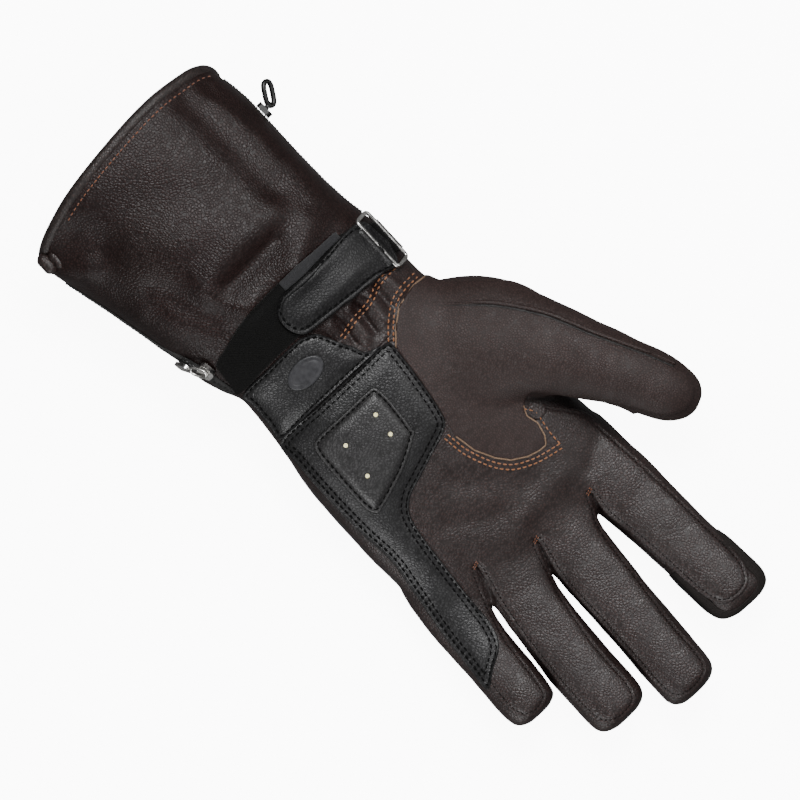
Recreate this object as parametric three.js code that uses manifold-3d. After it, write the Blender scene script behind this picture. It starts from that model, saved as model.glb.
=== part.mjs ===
// Left heated gauntlet glove in brown leather, lying palm up on its back.
// Millimetres. +Y runs to the fingertips, +X to the little finger, +Z up out of the palm.
// The origin is on the resting plane, under the middle of the palm.

import * as THREE from 'three';
import { mergeVertices } from 'three/addons/utils/BufferGeometryUtils.js';
import Module from 'manifold-3d';

const wasm = await Module();
wasm.setup();

// Sizes of the leather
const WALL = 3;               // outer leather with its padding and heating layer
const GAP = 0.3;              // between pieces that touch
const PATCH_THICK = 1.6;      // overlay leather on the palm
const PAD_THICK = 2.4;        // raised pad on the patch
const BAND_THICK = 1.3;       // fuzzy fastening band
const TAB_THICK = 2.2;        // strap tab, leather backed with hooks
const LABEL_THICK = 0.8;      // woven label
const CAP_THICK = 1.2;        // overlay on the index fingertip
const DOT_HEIGHT = 0.8;       // vent eyelets above the pad
const BADGE_HEIGHT = 1.4;     // plain badge above its patch

// Sizes of the hand
const PALM_WIDTH = 100;       // across the palm at the origin
const PALM_LENGTH = 100;      // heel seam to the roots of the fingers
const PALM_DEPTH = 44;        // back to palm at the origin
const FINGER_ROOT = 58;       // origin to where each finger's tube begins, inside the palm
const FINGER_DEPTH = 25;
const FINGER_CURL = 9;        // how far a fingertip lifts
const TIP_ROUND = 8;          // length over which a fingertip rounds off
const INDEX_REACH = 155;      // origin to each fingertip
const MIDDLE_REACH = 167.5;
const RING_REACH = 156;
const LITTLE_REACH = 131;
const INDEX_WIDTH = 26.5;
const MIDDLE_WIDTH = 25.3;
const RING_WIDTH = 26.3;
const LITTLE_WIDTH = 23.4;
const THUMB_WIDTH = 27;
const THUMB_DEPTH = 26;
const THUMB_LIFT = 40;        // height of the thumb tip's middle

// Sizes of the wrist and the gauntlet
const STRAP_LINE = 50;        // origin to the strap's middle
const STRAP_WIDTH = 20;
const WRIST_WIDTH = 90;
const WRIST_DEPTH = 50;
const CUFF_LENGTH = 89;       // strap's middle to the middle of the mouth
const CUFF_WIDTH = 100;
const CUFF_DEPTH = 68;
const MOUTH_SLANT = 0.11;     // how fast the mouth runs back towards the little finger
const MOUTH_RAKE = 0.27;      // how fast it runs back towards the floor
const BINDING_WIDTH = 4;
const BINDING_PROUD = 0.9;    // binding beyond the wall on each side

// Sizes of the hardware
const RING_WIRE = 1.7;
const RING_LENGTH = 24.5;
const ZIP_WIDTH = 6;
const SLIDER_LENGTH = 7;
const SLIDER_WIDTH = 5;
const SLIDER_HEIGHT = 2.4;
const PULL_WIRE = 1.3;
const PULL_LENGTH = 11;
const PULL_WIDTH = 5;
const BAIL_WIRE = 1.1;
const BAIL_LENGTH = 7;
const BAIL_WIDTH = 4;
const PLATE_LENGTH = 9.5;
const PLATE_WIDTH = 4.6;
const PLATE_THICK = 1.4;

// Fineness of the facets
const SLEEVE_SIDES = 26;
const FINGER_SIDES = 14;
const INNER_SLEEVE_SIDES = 18;
const INNER_FINGER_SIDES = 10;

const FINE = 0.2;             // faces smaller than this are joined to their neighbours
const BINDING_SIDES = 7;
const RING_SIDES = 6;
const WIRE_SIDES = 5;

const half = GAP / 2;         // each side's share of a gap
const PAST = 2;               // how far a cut runs on past what it cuts

// Rows of numbers under named columns
function table(columns, rows) {
  return rows.map((row) => Object.fromEntries(columns.split(' ').map((name, i) => [name, row[i]])));
}

// Sections of the sleeve, from the mouth to the roots of the fingers.
// along: share of the zone's length. radial, ulnar: reach to each side, shares of the zone's width.
// low, high: shares of the zone's depth. square: 2 is an ellipse, more is boxier.
// lean: how much of the mouth's slant and rake the section takes.
const ZONES = {
  cuff: { start: -STRAP_LINE, length: -CUFF_LENGTH, width: CUFF_WIDTH, depth: CUFF_DEPTH },
  wrist: { start: -STRAP_LINE, length: STRAP_WIDTH, width: WRIST_WIDTH, depth: WRIST_DEPTH },
  palm: { start: 0, length: PALM_LENGTH, width: PALM_WIDTH, depth: PALM_DEPTH },
};
const SLEEVE_ROWS = table('zone along radial ulnar low high square lean', [
  ['cuff', 1.00, 0.500, 0.520, -0.02, 1.00, 2.3, 1.00],
  ['cuff', 0.94, 0.512, 0.515, -0.02, 1.00, 2.3, 0.92],
  ['cuff', 0.87, 0.522, 0.502, -0.02, 0.99, 2.3, 0.80],
  ['cuff', 0.79, 0.526, 0.488, -0.02, 0.98, 2.3, 0.66],
  ['cuff', 0.71, 0.526, 0.473, -0.02, 0.97, 2.3, 0.52],
  ['cuff', 0.62, 0.526, 0.458, -0.02, 0.96, 2.3, 0.38],
  ['cuff', 0.53, 0.526, 0.442, -0.02, 0.95, 2.3, 0.25],
  ['cuff', 0.45, 0.528, 0.428, -0.01, 0.93, 2.3, 0.14],
  ['cuff', 0.38, 0.530, 0.418, 0.00, 0.92, 2.3, 0.06],
  ['cuff', 0.31, 0.533, 0.408, 0.01, 0.90, 2.3, 0],
  ['cuff', 0.23, 0.542, 0.393, 0.02, 0.87, 2.3, 0],
  ['cuff', 0.15, 0.555, 0.382, 0.03, 0.84, 2.3, 0],
  ['wrist', -0.35, 0.622, 0.410, 0.08, 1.11, 2.4, 0],
  ['wrist', 0.00, 0.622, 0.385, 0.10, 1.08, 2.4, 0],
  ['wrist', 0.35, 0.622, 0.348, 0.10, 1.04, 2.4, 0],
  ['palm', -0.36, 0.560, 0.313, 0.09, 1.13, 2.4, 0],
  ['palm', -0.28, 0.568, 0.320, 0.05, 1.09, 2.5, 0],
  ['palm', -0.15, 0.588, 0.335, 0.00, 1.04, 2.6, 0],
  ['palm', 0.00, 0.620, 0.360, -0.03, 1.00, 2.7, 0],
  ['palm', 0.18, 0.648, 0.372, -0.03, 0.93, 2.8, 0],
  ['palm', 0.38, 0.670, 0.372, -0.03, 0.83, 2.9, 0],
  ['palm', 0.55, 0.686, 0.368, -0.03, 0.74, 3.0, 0],
  ['palm', 0.68, 0.694, 0.385, -0.03, 0.66, 3.2, 0],
  ['palm', 0.75, 0.694, 0.390, -0.01, 0.61, 3.2, 0],
  ['palm', 0.79, 0.680, 0.375, 0.10, 0.50, 3.0, 0],
]);

// Folds of the leather on the palm side, each a ridge or a valley along a short line.
// x: shares of the cuff's width. y: shares of the cuff's length from the strap.
// spread and height: shares of the leather's wall.
const FOLD_ROWS = table('x0 y0 x1 y1 spread height', [
  [-0.36, 0.28, -0.20, 0.19, 1.9, 0.62],
  [-0.20, 0.19, 0.05, 0.20, 1.9, 0.66],
  [0.05, 0.20, 0.12, 0.34, 1.8, 0.40],
  [0.10, 0.42, -0.28, 0.44, 2.2, 0.55],
  [-0.20, 0.32, 0.04, 0.32, 1.3, -0.45],
  [-0.36, 0.50, -0.35, 1.05, 2.2, -0.55],
  [-0.46, 0.34, -0.45, 0.92, 1.9, 0.35],
  [0.40, 0.80, 0.50, 0.90, 1.6, 0.60],
  [0.30, 0.84, 0.36, 0.96, 2.4, -0.55],
  [-0.28, -0.14, -0.27, -0.05, 0.9, -0.35],
  [-0.22, -0.15, -0.21, -0.05, 0.9, 0.40],
  [-0.16, -0.15, -0.15, -0.05, 0.9, -0.35],
]);

// Height that the folds add at a place on the palm side
function foldHeight(x, y) {
  const place = new THREE.Vector3(x, y, 0);
  const nearest = new THREE.Vector3();
  let height = 0;
  for (const row of FOLD_ROWS) {
    const line = new THREE.Line3(
      new THREE.Vector3(row.x0 * CUFF_WIDTH, -STRAP_LINE - row.y0 * CUFF_LENGTH, 0),
      new THREE.Vector3(row.x1 * CUFF_WIDTH, -STRAP_LINE - row.y1 * CUFF_LENGTH, 0),
    );
    line.closestPointToPoint(place, true, nearest);
    const away = nearest.distanceTo(place) / (row.spread * WALL);
    height += row.height * WALL * Math.exp(-away * away);
  }
  return height;
}

// The sleeve's sections in millimetres
const sleeveSections = SLEEVE_ROWS.map((row) => {
  const zone = ZONES[row.zone];
  return {
    y: zone.start + row.along * zone.length,
    left: -row.radial * zone.width,
    right: row.ulnar * zone.width,
    low: row.low * zone.depth,
    high: row.high * zone.depth,
    square: row.square,
    lean: row.lean,
  };
});
const mouthMiddle = CUFF_DEPTH / 2;

// The sleeve's section at any y, between its rows
function sectionAt(y) {
  let k = 0;
  while (k < sleeveSections.length - 2 && sleeveSections[k + 1].y < y) {
    k += 1;
  }
  const a = sleeveSections[k];
  const b = sleeveSections[k + 1];
  const t = THREE.MathUtils.clamp((y - a.y) / (b.y - a.y), 0, 1);
  const mixed = { y };
  for (const name of ['left', 'right', 'low', 'high', 'square', 'lean']) {
    mixed[name] = THREE.MathUtils.lerp(a[name], b[name], t);
  }
  return mixed;
}

// A signed power, for the corners of a superellipse
function signedPower(value, exponent) {
  return Math.sign(value) * Math.abs(value) ** exponent;
}

// The sleeve's skin at an angle of a section: 0 is the ulnar side, a quarter turn the palm
function sleevePoint(section, angle, offset) {
  const halfWidth = (section.right - section.left) / 2 + offset;
  const halfDepth = (section.high - section.low) / 2 + offset;
  const x = (section.right + section.left) / 2
    + halfWidth * signedPower(Math.cos(angle), 2 / section.square);
  const flat = (section.high + section.low) / 2
    + halfDepth * signedPower(Math.sin(angle), 2 / section.square);
  const y = section.y + section.lean * (MOUTH_SLANT * x - MOUTH_RAKE * (flat - mouthMiddle));
  const z = flat + Math.max(0, Math.sin(angle)) * foldHeight(x, y);
  return new THREE.Vector3(x, y, z);
}

// Height of the palm side's skin over a place in plan
function skinHeight(x, y, offset = 0) {
  const section = sectionAt(y);
  const halfWidth = (section.right - section.left) / 2 + offset;
  const halfDepth = (section.high - section.low) / 2 + offset;
  const across = Math.min(1, Math.abs(x - (section.right + section.left) / 2) / halfWidth);
  const rise = (1 - across ** section.square) ** (1 / section.square);
  return (section.high + section.low) / 2 + halfDepth * rise;
}

function sleeveRing(section, sides, offset) {
  const ring = [];
  for (let i = 0; i < sides; i += 1) {
    ring.push(sleevePoint(section, (i / sides) * 2 * Math.PI, offset));
  }
  return ring;
}

// A BufferGeometry closed by its own faces, turned to point outwards
function closedGeometry(points, faces) {
  let volume = 0;
  for (const [a, b, c] of faces) {
    volume += points[a].dot(new THREE.Vector3().crossVectors(points[b], points[c]));
  }
  const turned = volume < 0 ? faces.map(([a, b, c]) => [a, c, b]) : faces;
  const geometry = new THREE.BufferGeometry().setFromPoints(points);
  geometry.setIndex(turned.flat());
  return geometry;
}

// Faces between two rings of a loft
function bandFaces(a, b, sides, faces) {
  for (let i = 0; i < sides; i += 1) {
    const j = (i + 1) % sides;
    faces.push([a + i, b + i, b + j], [a + i, b + j, a + j]);
  }
}

// A loft through rings of the same number of points, closed by a fan at each end
function loft(rings) {
  const sides = rings[0].length;
  const points = rings.flat();
  const faces = [];
  for (let k = 0; k < rings.length - 1; k += 1) {
    bandFaces(k * sides, (k + 1) * sides, sides, faces);
  }
  for (const [ring, first, turn] of [[rings[0], 0, 1], [rings.at(-1), points.length - sides, -1]]) {
    const middle = points.length;
    points.push(ring.reduce((sum, p) => sum.add(p), new THREE.Vector3()).divideScalar(sides));
    for (let i = 0; i < sides; i += 1) {
      const j = (i + 1) % sides;
      faces.push(turn > 0 ? [middle, first + i, first + j] : [middle, first + j, first + i]);
    }
  }
  return closedGeometry(points, faces);
}

// An oval bar swept round a closed path: wide lies across the plane's normal, tall along it
function sweptLoop(path, normals, wide, tall, sides) {
  const points = [];
  const faces = [];
  path.forEach((place, k) => {
    const ahead = path[(k + 1) % path.length];
    const behind = path[(k + path.length - 1) % path.length];
    const along = ahead.clone().sub(behind).normalize();
    const up = normals[k % normals.length].clone().projectOnPlane(along).normalize();
    const out = new THREE.Vector3().crossVectors(along, up);
    for (let i = 0; i < sides; i += 1) {
      const angle = ((i + 0.5) / sides) * 2 * Math.PI;
      points.push(place.clone()
        .addScaledVector(out, wide * Math.cos(angle))
        .addScaledVector(up, tall * Math.sin(angle)));
    }
  });
  for (let k = 0; k < path.length; k += 1) {
    bandFaces(k * sides, ((k + 1) % path.length) * sides, sides, faces);
  }
  return closedGeometry(points, faces);
}

// Geometry to a solid that can be joined and cut, and back
function solidOf(geometry) {
  const bare = geometry.clone();
  bare.deleteAttribute('normal');
  bare.deleteAttribute('uv');
  const merged = mergeVertices(bare, 1e-4);
  return new wasm.Manifold(new wasm.Mesh({
    numProp: 3,
    vertProperties: new Float32Array(merged.attributes.position.array),
    triVerts: new Uint32Array(merged.index.array),
  }));
}

function geometryOf(solid) {
  const mesh = solid.getMesh();
  const geometry = new THREE.BufferGeometry();
  geometry.setAttribute('position', new THREE.BufferAttribute(mesh.vertProperties, 3));
  geometry.setIndex(new THREE.BufferAttribute(mesh.triVerts, 1));
  return geometry;
}

// A cut piece without the crumbs that its cuts left beside it and without needless small faces
function whole(solid) {
  const bodies = solid.simplify(FINE).decompose();
  return bodies.reduce((best, one) => (one.volume() > best.volume() ? one : best));
}

function joined(solids) {
  return solids.reduce((sum, solid) => sum.add(solid));
}

// A block between two corners
function block(low, high) {
  const size = high.map((value, i) => value - low[i]);
  const geometry = new THREE.BoxGeometry(...size);
  geometry.translate(...low.map((value, i) => value + size[i] / 2));
  return solidOf(geometry);
}

// An upright prism over an outline in plan
function prism(outline, bottom, top) {
  const shape = new THREE.Shape(outline);
  const geometry = new THREE.ExtrudeGeometry(shape, { depth: top - bottom, bevelEnabled: false });
  geometry.translate(0, 0, bottom);
  return solidOf(geometry);
}

// An upright round bar over a place in plan
function upright(x, y, radiusX, radiusY, sides, bottom, top) {
  const outline = [];
  for (let i = 0; i < sides; i += 1) {
    const angle = (i / sides) * 2 * Math.PI;
    outline.push(new THREE.Vector2(x + radiusX * Math.cos(angle), y + radiusY * Math.sin(angle)));
  }
  return prism(outline, bottom, top);
}

// Rows of a table, in shares of the palm's width and length, as points in plan
function planPoints(rows) {
  return rows.map((row) => new THREE.Vector2(row.x * PALM_WIDTH, row.y * PALM_LENGTH));
}

// The fingers. root, tip: sideways places of the tube's middle, shares of the palm's width.
// bow: how far the middle bends towards the little finger, a share of the finger's width.
const FINGERS = table('name root tip bow reach width', [
  ['index', -0.550, -0.617, 0.00, INDEX_REACH, INDEX_WIDTH],
  ['middle', -0.275, -0.225, 0.00, MIDDLE_REACH, MIDDLE_WIDTH],
  ['ring', -0.003, 0.055, 0.06, RING_REACH, RING_WIDTH],
  ['little', 0.248, 0.298, 0.06, LITTLE_REACH, LITTLE_WIDTH],
]);

// Sections of every finger. along: share of the tube up to its rounded tip, past 1 share of the tip.
// wide, deep: shares of the finger's width and depth. seat: the middle's height, a share of the depth.
// lift: share of the curl.
const FINGER_ROWS = table('along wide deep seat lift', [
  [0.00, 1.12, 1.08, 0.50, 0.00],
  [0.30, 1.12, 1.06, 0.49, 0.03],
  [0.46, 1.06, 1.04, 0.48, 0.13],
  [0.65, 1.01, 1.00, 0.46, 0.35],
  [0.84, 1.00, 0.97, 0.45, 0.64],
  [1.00, 0.99, 0.92, 0.44, 0.88],
  [1.50, 0.91, 0.82, 0.44, 0.95],
  [1.82, 0.72, 0.62, 0.44, 0.98],
  [2.00, 0.42, 0.36, 0.44, 1.00],
]);
const FINGER_SQUARE = 2.5;

// A finger's sections in millimetres
function fingerSections(finger, offset) {
  const straight = finger.reach - TIP_ROUND - FINGER_ROOT;
  return FINGER_ROWS.map((row) => {
    const inTip = Math.max(0, row.along - 1);
    const y = FINGER_ROOT + Math.min(1, row.along) * straight + inTip * (TIP_ROUND + offset);
    const share = Math.min(1, (y - FINGER_ROOT) / (finger.reach - FINGER_ROOT));
    const middle = THREE.MathUtils.lerp(finger.root, finger.tip, share) * PALM_WIDTH
      + finger.bow * finger.width * Math.sin(share * Math.PI);
    return {
      y,
      x: middle,
      z: row.seat * FINGER_DEPTH + row.lift * FINGER_CURL,
      halfWidth: (finger.width * row.wide) / 2 + offset,
      halfDepth: (FINGER_DEPTH * row.deep) / 2 + offset,
    };
  });
}

function fingerSolid(finger, sides, offset) {
  const rings = fingerSections(finger, offset).map((section) => {
    const ring = [];
    for (let i = 0; i < sides; i += 1) {
      const angle = (i / sides) * 2 * Math.PI;
      ring.push(new THREE.Vector3(
        section.x + section.halfWidth * signedPower(Math.cos(angle), 2 / FINGER_SQUARE),
        section.y,
        section.z + section.halfDepth * signedPower(Math.sin(angle), 2 / FINGER_SQUARE),
      ));
    }
    return ring;
  });
  return solidOf(loft(rings));
}

// Sections for cutting a finger lengthwise: they don't close in at the tip, and run on past it
function fingerCuts(finger) {
  const sections = fingerSections(finger, 0);
  const straight = sections.filter((section) => section.y <= finger.reach - TIP_ROUND);
  const last = straight.at(-1);
  const beyond = { ...last, x: sections.at(-1).x, z: sections.at(-1).z, y: finger.reach + TIP_ROUND };
  return [...straight, beyond];
}

// The thumb, from inside the ball of the palm to its tip.
// x, y: shares of the palm's width and length. z: share of the lift.
// wide, deep: shares of the thumb's width and depth.
const THUMB_ROWS = table('x y z wide deep', [
  [-0.360, -0.070, 0.56, 1.95, 1.50],
  [-0.470, 0.000, 0.60, 2.02, 1.62],
  [-0.580, 0.085, 0.66, 1.94, 1.62],
  [-0.665, 0.180, 0.76, 1.62, 1.46],
  [-0.745, 0.290, 0.86, 1.34, 1.26],
  [-0.812, 0.400, 0.94, 1.16, 1.14],
  [-0.868, 0.510, 1.00, 1.06, 1.06],
  [-0.920, 0.620, 1.02, 1.00, 1.00],
  [-0.955, 0.700, 1.02, 0.93, 0.94],
  [-0.985, 0.765, 1.01, 0.76, 0.76],
  [-1.003, 0.805, 1.00, 0.52, 0.50],
  [-1.012, 0.825, 1.00, 0.24, 0.22],
]);
const THUMB_SQUARE = 2.2;

function thumbSections(offset) {
  const places = THUMB_ROWS.map((row) => new THREE.Vector3(
    row.x * PALM_WIDTH, row.y * PALM_LENGTH, row.z * THUMB_LIFT));
  return THUMB_ROWS.map((row, k) => {
    const ahead = places[Math.min(k + 1, places.length - 1)];
    const behind = places[Math.max(k - 1, 0)];
    const along = ahead.clone().sub(behind).setZ(0).normalize();
    const last = k === THUMB_ROWS.length - 1 ? offset : 0;
    return {
      place: places[k].clone().addScaledVector(along, last),
      side: new THREE.Vector3(along.y, -along.x, 0),
      halfWidth: (THUMB_WIDTH * row.wide) / 2 + offset,
      halfDepth: (THUMB_DEPTH * row.deep) / 2 + offset,
    };
  });
}

function thumbSolid(sides, offset) {
  const rings = thumbSections(offset).map((section) => {
    const ring = [];
    for (let i = 0; i < sides; i += 1) {
      const angle = (i / sides) * 2 * Math.PI;
      ring.push(section.place.clone()
        .addScaledVector(section.side, section.halfWidth * signedPower(Math.cos(angle), 2 / THUMB_SQUARE))
        .add(new THREE.Vector3(0, 0, section.halfDepth * signedPower(Math.sin(angle), 2 / THUMB_SQUARE))));
    }
    return ring;
  });
  return solidOf(loft(rings));
}

const FAR = 400;              // beyond every piece
const MOUTH_CUT = 4;          // walls that the hollow runs on past the mouth

// The sleeve alone. An inner one is carried on past the mouth, so that it opens it.
function sleeveSolid(sides, offset, opened) {
  const rings = sleeveSections.map((section) => sleeveRing(section, sides, offset));
  const last = sleeveSections.at(-1);
  rings[rings.length - 1] = sleeveRing({ ...last, y: last.y + offset }, sides, offset);
  if (opened) {
    rings.unshift(rings[0].map((p) => p.clone().add(new THREE.Vector3(0, -MOUTH_CUT * WALL, 0))));
  }
  return solidOf(loft(rings));
}

// The whole glove swollen by an offset, flat where it rests
const bodies = new Map();
function body(offset) {
  if (!bodies.has(offset)) {
    const solids = [
      sleeveSolid(SLEEVE_SIDES, offset, false),
      thumbSolid(FINGER_SIDES, offset),
      ...FINGERS.map((finger) => fingerSolid(finger, FINGER_SIDES, offset)),
    ];
    bodies.set(offset, joined(solids).intersect(block([-FAR, -FAR, 0], [FAR, FAR, FAR])));
  }
  return bodies.get(offset);
}

const hollow = joined([
  sleeveSolid(INNER_SLEEVE_SIDES, -WALL, true),
  thumbSolid(INNER_FINGER_SIDES, -WALL),
  ...FINGERS.map((finger) => fingerSolid(finger, INNER_FINGER_SIDES, -WALL)),
]).intersect(block([-FAR, -FAR, WALL], [FAR, FAR, FAR]));
const shell = body(0).subtract(hollow);

// A layer that lies on the glove, between two offsets
function layer(inner, outer) {
  return body(outer).subtract(body(inner));
}

// Seams. Each is a height over or under the middle of a section, as a share of its half depth.
const HAND_SEAM = 0.50;
const FINGER_SEAM = 0.66;
const STRIP_SEAM = -0.30;
const THENAR_LOW = 0.45;      // share of the palm's depth: all of the thumb panel on the palm is over it
const thenarHeight = PALM_DEPTH * THENAR_LOW;
const THUMB_SEAM_OUTER = 0.62;
const THUMB_SEAM_INNER = -0.10;

// A loft of four-sided sections, each from its corners
function wedge(rows) {
  return solidOf(loft(rows.map((corners) => corners.map(([x, y, z]) => new THREE.Vector3(x, y, z)))));
}

// Everything over the palm side's seam, raised by a clearance
function palmSide(clearance) {
  const hand = sleeveSections.filter((section) => section.y > -STRAP_LINE - STRAP_WIDTH).map((section) => {
    const z = (section.high + section.low) / 2
      + ((section.high - section.low) / 2) * HAND_SEAM + clearance;
    return [[-FAR, section.y, z], [FAR, section.y, z], [FAR, section.y, FAR], [-FAR, section.y, FAR]];
  });
  const fingers = FINGERS.map((finger) => wedge(fingerCuts(finger).map((section) => {
    const z = section.z + section.halfDepth * FINGER_SEAM + clearance;
    const reach = section.halfWidth + PAST / 2;
    return [
      [section.x - reach, section.y, z], [section.x + reach, section.y, z],
      [section.x + reach, section.y, FAR], [section.x - reach, section.y, FAR],
    ];
  })));
  return joined([wedge(hand), ...fingers]);
}

// The side strip of one finger, towards the little finger (side 1) or the thumb (side -1)
const STRIP_START = 0.72;     // share of the palm's length where the strips begin
function fingerStrip(finger, side, clearance) {
  const start = STRIP_START * PALM_LENGTH - clearance;
  const sections = fingerCuts(finger);
  const rows = [];
  sections.forEach((section, k) => {
    const next = sections[k + 1];
    if (next && next.y > start && section.y <= start) {
      const t = (start - section.y) / (next.y - section.y);
      const mixed = {};
      for (const name of Object.keys(section)) {
        mixed[name] = THREE.MathUtils.lerp(section[name], next[name], t);
      }
      rows.push(mixed);
    } else if (section.y > start) {
      rows.push(section);
    }
  });
  return wedge(rows.map((section) => {
    const near = section.x + side * (half - clearance);
    const far = section.x + side * (section.halfWidth + PAST + clearance);
    const low = section.z + section.halfDepth * STRIP_SEAM - clearance;
    const high = section.z + section.halfDepth * FINGER_SEAM + clearance;
    return [[near, section.y, low], [far, section.y, low], [far, section.y, high], [near, section.y, high]];
  }));
}

// The thumb's front, over a seam that climbs from its inner to its outer side.
// It is carried back over the ball of the palm and inwards over the thumb panel.
function thumbFront(clearance) {
  const sections = thumbSections(1);
  const root = sections[0];
  const back = new THREE.Vector3(-root.side.y, root.side.x, 0).multiplyScalar(-2 * THUMB_WIDTH);
  const rows = [{ ...root, place: root.place.clone().add(back) }, ...sections];
  return wedge(rows.map((section) => {
    const corner = (reach, z) => section.place.clone().addScaledVector(section.side, reach).setZ(z).toArray();
    const outside = -section.halfWidth - WALL;
    const inside = section.halfWidth + THUMB_WIDTH;
    const outer = section.place.z + section.halfDepth * THUMB_SEAM_OUTER + clearance;
    const inner = section.place.z + section.halfDepth * THUMB_SEAM_INNER + clearance;
    return [corner(outside, outer), corner(inside, inner), corner(inside, FAR), corner(outside, FAR)];
  })).add(prism(planPoints(THENAR_FLAT), thenarHeight + clearance, FAR));
}

// Edge of the thumb panel on the palm, in shares of the palm's width and length
const THENAR_EDGE = table('x y', [
  [-0.66, -0.36], [-0.56, -0.292], [-0.50, -0.294], [-0.40, -0.268], [-0.33, -0.215], [-0.275, -0.15],
  [-0.255, 0.00], [-0.235, 0.13], [-0.212, 0.26], [-0.228, 0.35], [-0.265, 0.43], [-0.31, 0.485],
  [-0.37, 0.518], [-0.45, 0.535], [-0.475, 0.51], [-0.493, 0.435], [-0.465, 0.37], [-0.52, 0.315],
  [-0.60, 0.405], [-0.69, 0.53],
]);
const THUMB_SURROUND = table('x y', [[-0.76, 0.70], [-0.90, 0.95], [-1.30, 0.95], [-1.30, -0.36]]);
const THENAR_FLAT = table('x y', [
  [-0.43, -0.290], [-0.30, -0.26], [-0.20, 0.00], [-0.15, 0.30], [-0.30, 0.60], [-0.55, 0.56],
  [-0.515, 0.325], [-0.50, 0.10], [-0.46, -0.15],
]);
const thenarEdge = planPoints(THENAR_EDGE);
const thumbSurround = planPoints(THUMB_SURROUND);

// Where the wrist leather ends against the gauntlet, from the thumb side to the little finger
const WRIST_EDGE = table('x y', [
  [-0.90, -0.405], [-0.56, -0.402], [-0.50, -0.395], [-0.40, -0.382], [-0.33, -0.355], [-0.24, -0.345],
  [-0.15, -0.325], [0.10, -0.36], [0.30, -0.405], [0.90, -0.42],
]);
const wristEdge = planPoints(WRIST_EDGE);
const HEEL_SEAM = -0.20;      // share of the palm's length where the palm leather ends

// Outline moved outwards from its middle by a clearance, for a cut round a piece
function grown(outline, clearance) {
  return outline.map((p, i) => {
    const ahead = outline[(i + 1) % outline.length].clone().sub(p).normalize();
    const behind = p.clone().sub(outline[(i + outline.length - 1) % outline.length]).normalize();
    const along = ahead.add(behind).normalize();
    return p.clone().add(new THREE.Vector2(along.y, -along.x).multiplyScalar(clearance));
  });
}

// Parts of the hand's shell
function thumbZone(clearance) {
  const onPalm = prism(grown(thenarEdge, clearance), thenarHeight - clearance, FAR);
  const tube = thumbSolid(FINGER_SIDES, GAP + clearance);
  const outline = grown([...thenarEdge, ...thumbSurround], clearance);
  return onPalm.intersect(prism(outline, -FAR, FAR)).add(tube.intersect(prism(outline, -FAR, FAR)));
}
function gauntletZone(clearance) {
  const outline = [
    ...wristEdge.map((p) => new THREE.Vector2(p.x, p.y - clearance)),
    new THREE.Vector2(FAR, wristEdge.at(-1).y - clearance),
    new THREE.Vector2(FAR, -FAR),
    new THREE.Vector2(-FAR, -FAR),
    new THREE.Vector2(-FAR, wristEdge[0].y - clearance),
  ];
  return prism(outline, -FAR, FAR);
}

const hand = shell.subtract(gauntletZone(-half));
const gauntlet = shell.intersect(gauntletZone(half));
const thumbShell = hand.intersect(thumbZone(0));
const thumbFrontPart = thumbShell.intersect(thumbFront(half));
const thumbBackPart = thumbShell.subtract(thumbFront(-half));
const handRest = hand.subtract(thumbZone(GAP));
const front = handRest.intersect(palmSide(half));
const behind = handRest.subtract(palmSide(-half));
const heelLine = HEEL_SEAM * PALM_LENGTH;
const palmPanel = front.intersect(block([-FAR, heelLine + half, -FAR], [FAR, FAR, FAR]));
const wristPanel = front.intersect(block([-FAR, -FAR, -FAR], [FAR, heelLine - half, FAR]));

const strips = FINGERS.slice(1).map((finger, i) => ({
  name: `fourchette_${FINGERS[i].name}_${finger.name}`,
  zone: (clearance) => fingerStrip(FINGERS[i], 1, clearance).add(fingerStrip(finger, -1, clearance)),
}));
const backPanel = strips.reduce((rest, strip) => rest.subtract(strip.zone(GAP)), behind);

// Side seams of the gauntlet, where its zips run.
// along: share of the cuff's length from the strap. height: share of the section's half depth.
const ULNAR_SEAM = table('along height', [
  [-0.30, 0.45], [-0.08, 0.42], [0.07, 0.60], [0.17, 0.50], [0.34, 0.25], [0.90, 0.05], [1.40, 0.05],
]);
const RADIAL_SEAM = 0.05;
const ULNAR_ZIP_END = 0.86;   // share of the cuff's length
const RADIAL_ZIP_START = 0.17;
const RADIAL_ZIP_END = 1.2;   // past the mouth
const ULNAR_ZIP_CLEAR = 0.03; // from the wrist leather's edge to the zip
const ZIP_REACH = 0.2;        // share of the cuff's width that a zip's slot cuts in

function seamAt(y, side) {
  const section = sectionAt(y);
  const along = (-STRAP_LINE - y) / CUFF_LENGTH;
  const k = Math.max(1, ULNAR_SEAM.findIndex((row) => row.along > along));
  const [a, b] = [ULNAR_SEAM[k - 1], ULNAR_SEAM[k]];
  const share = side < 0
    ? RADIAL_SEAM
    : THREE.MathUtils.mapLinear(along, a.along, b.along, a.height, b.height);
  return {
    x: side < 0 ? section.left : section.right,
    z: (section.high + section.low) / 2 + ((section.high - section.low) / 2) * share,
  };
}

const gauntletStations = sleeveSections.map((section) => section.y).filter((y) => y < heelLine);
gauntletStations.unshift(gauntletStations[0] - CUFF_LENGTH / 4);

function gauntletFront(clearance) {
  return wedge(gauntletStations.map((y) => {
    const [radial, ulnar] = [seamAt(y, -1), seamAt(y, 1)];
    return [
      [radial.x - WALL, y, radial.z + clearance], [ulnar.x + WALL, y, ulnar.z + clearance],
      [ulnar.x + WALL, y, FAR], [radial.x - WALL, y, FAR],
    ];
  }));
}

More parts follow.
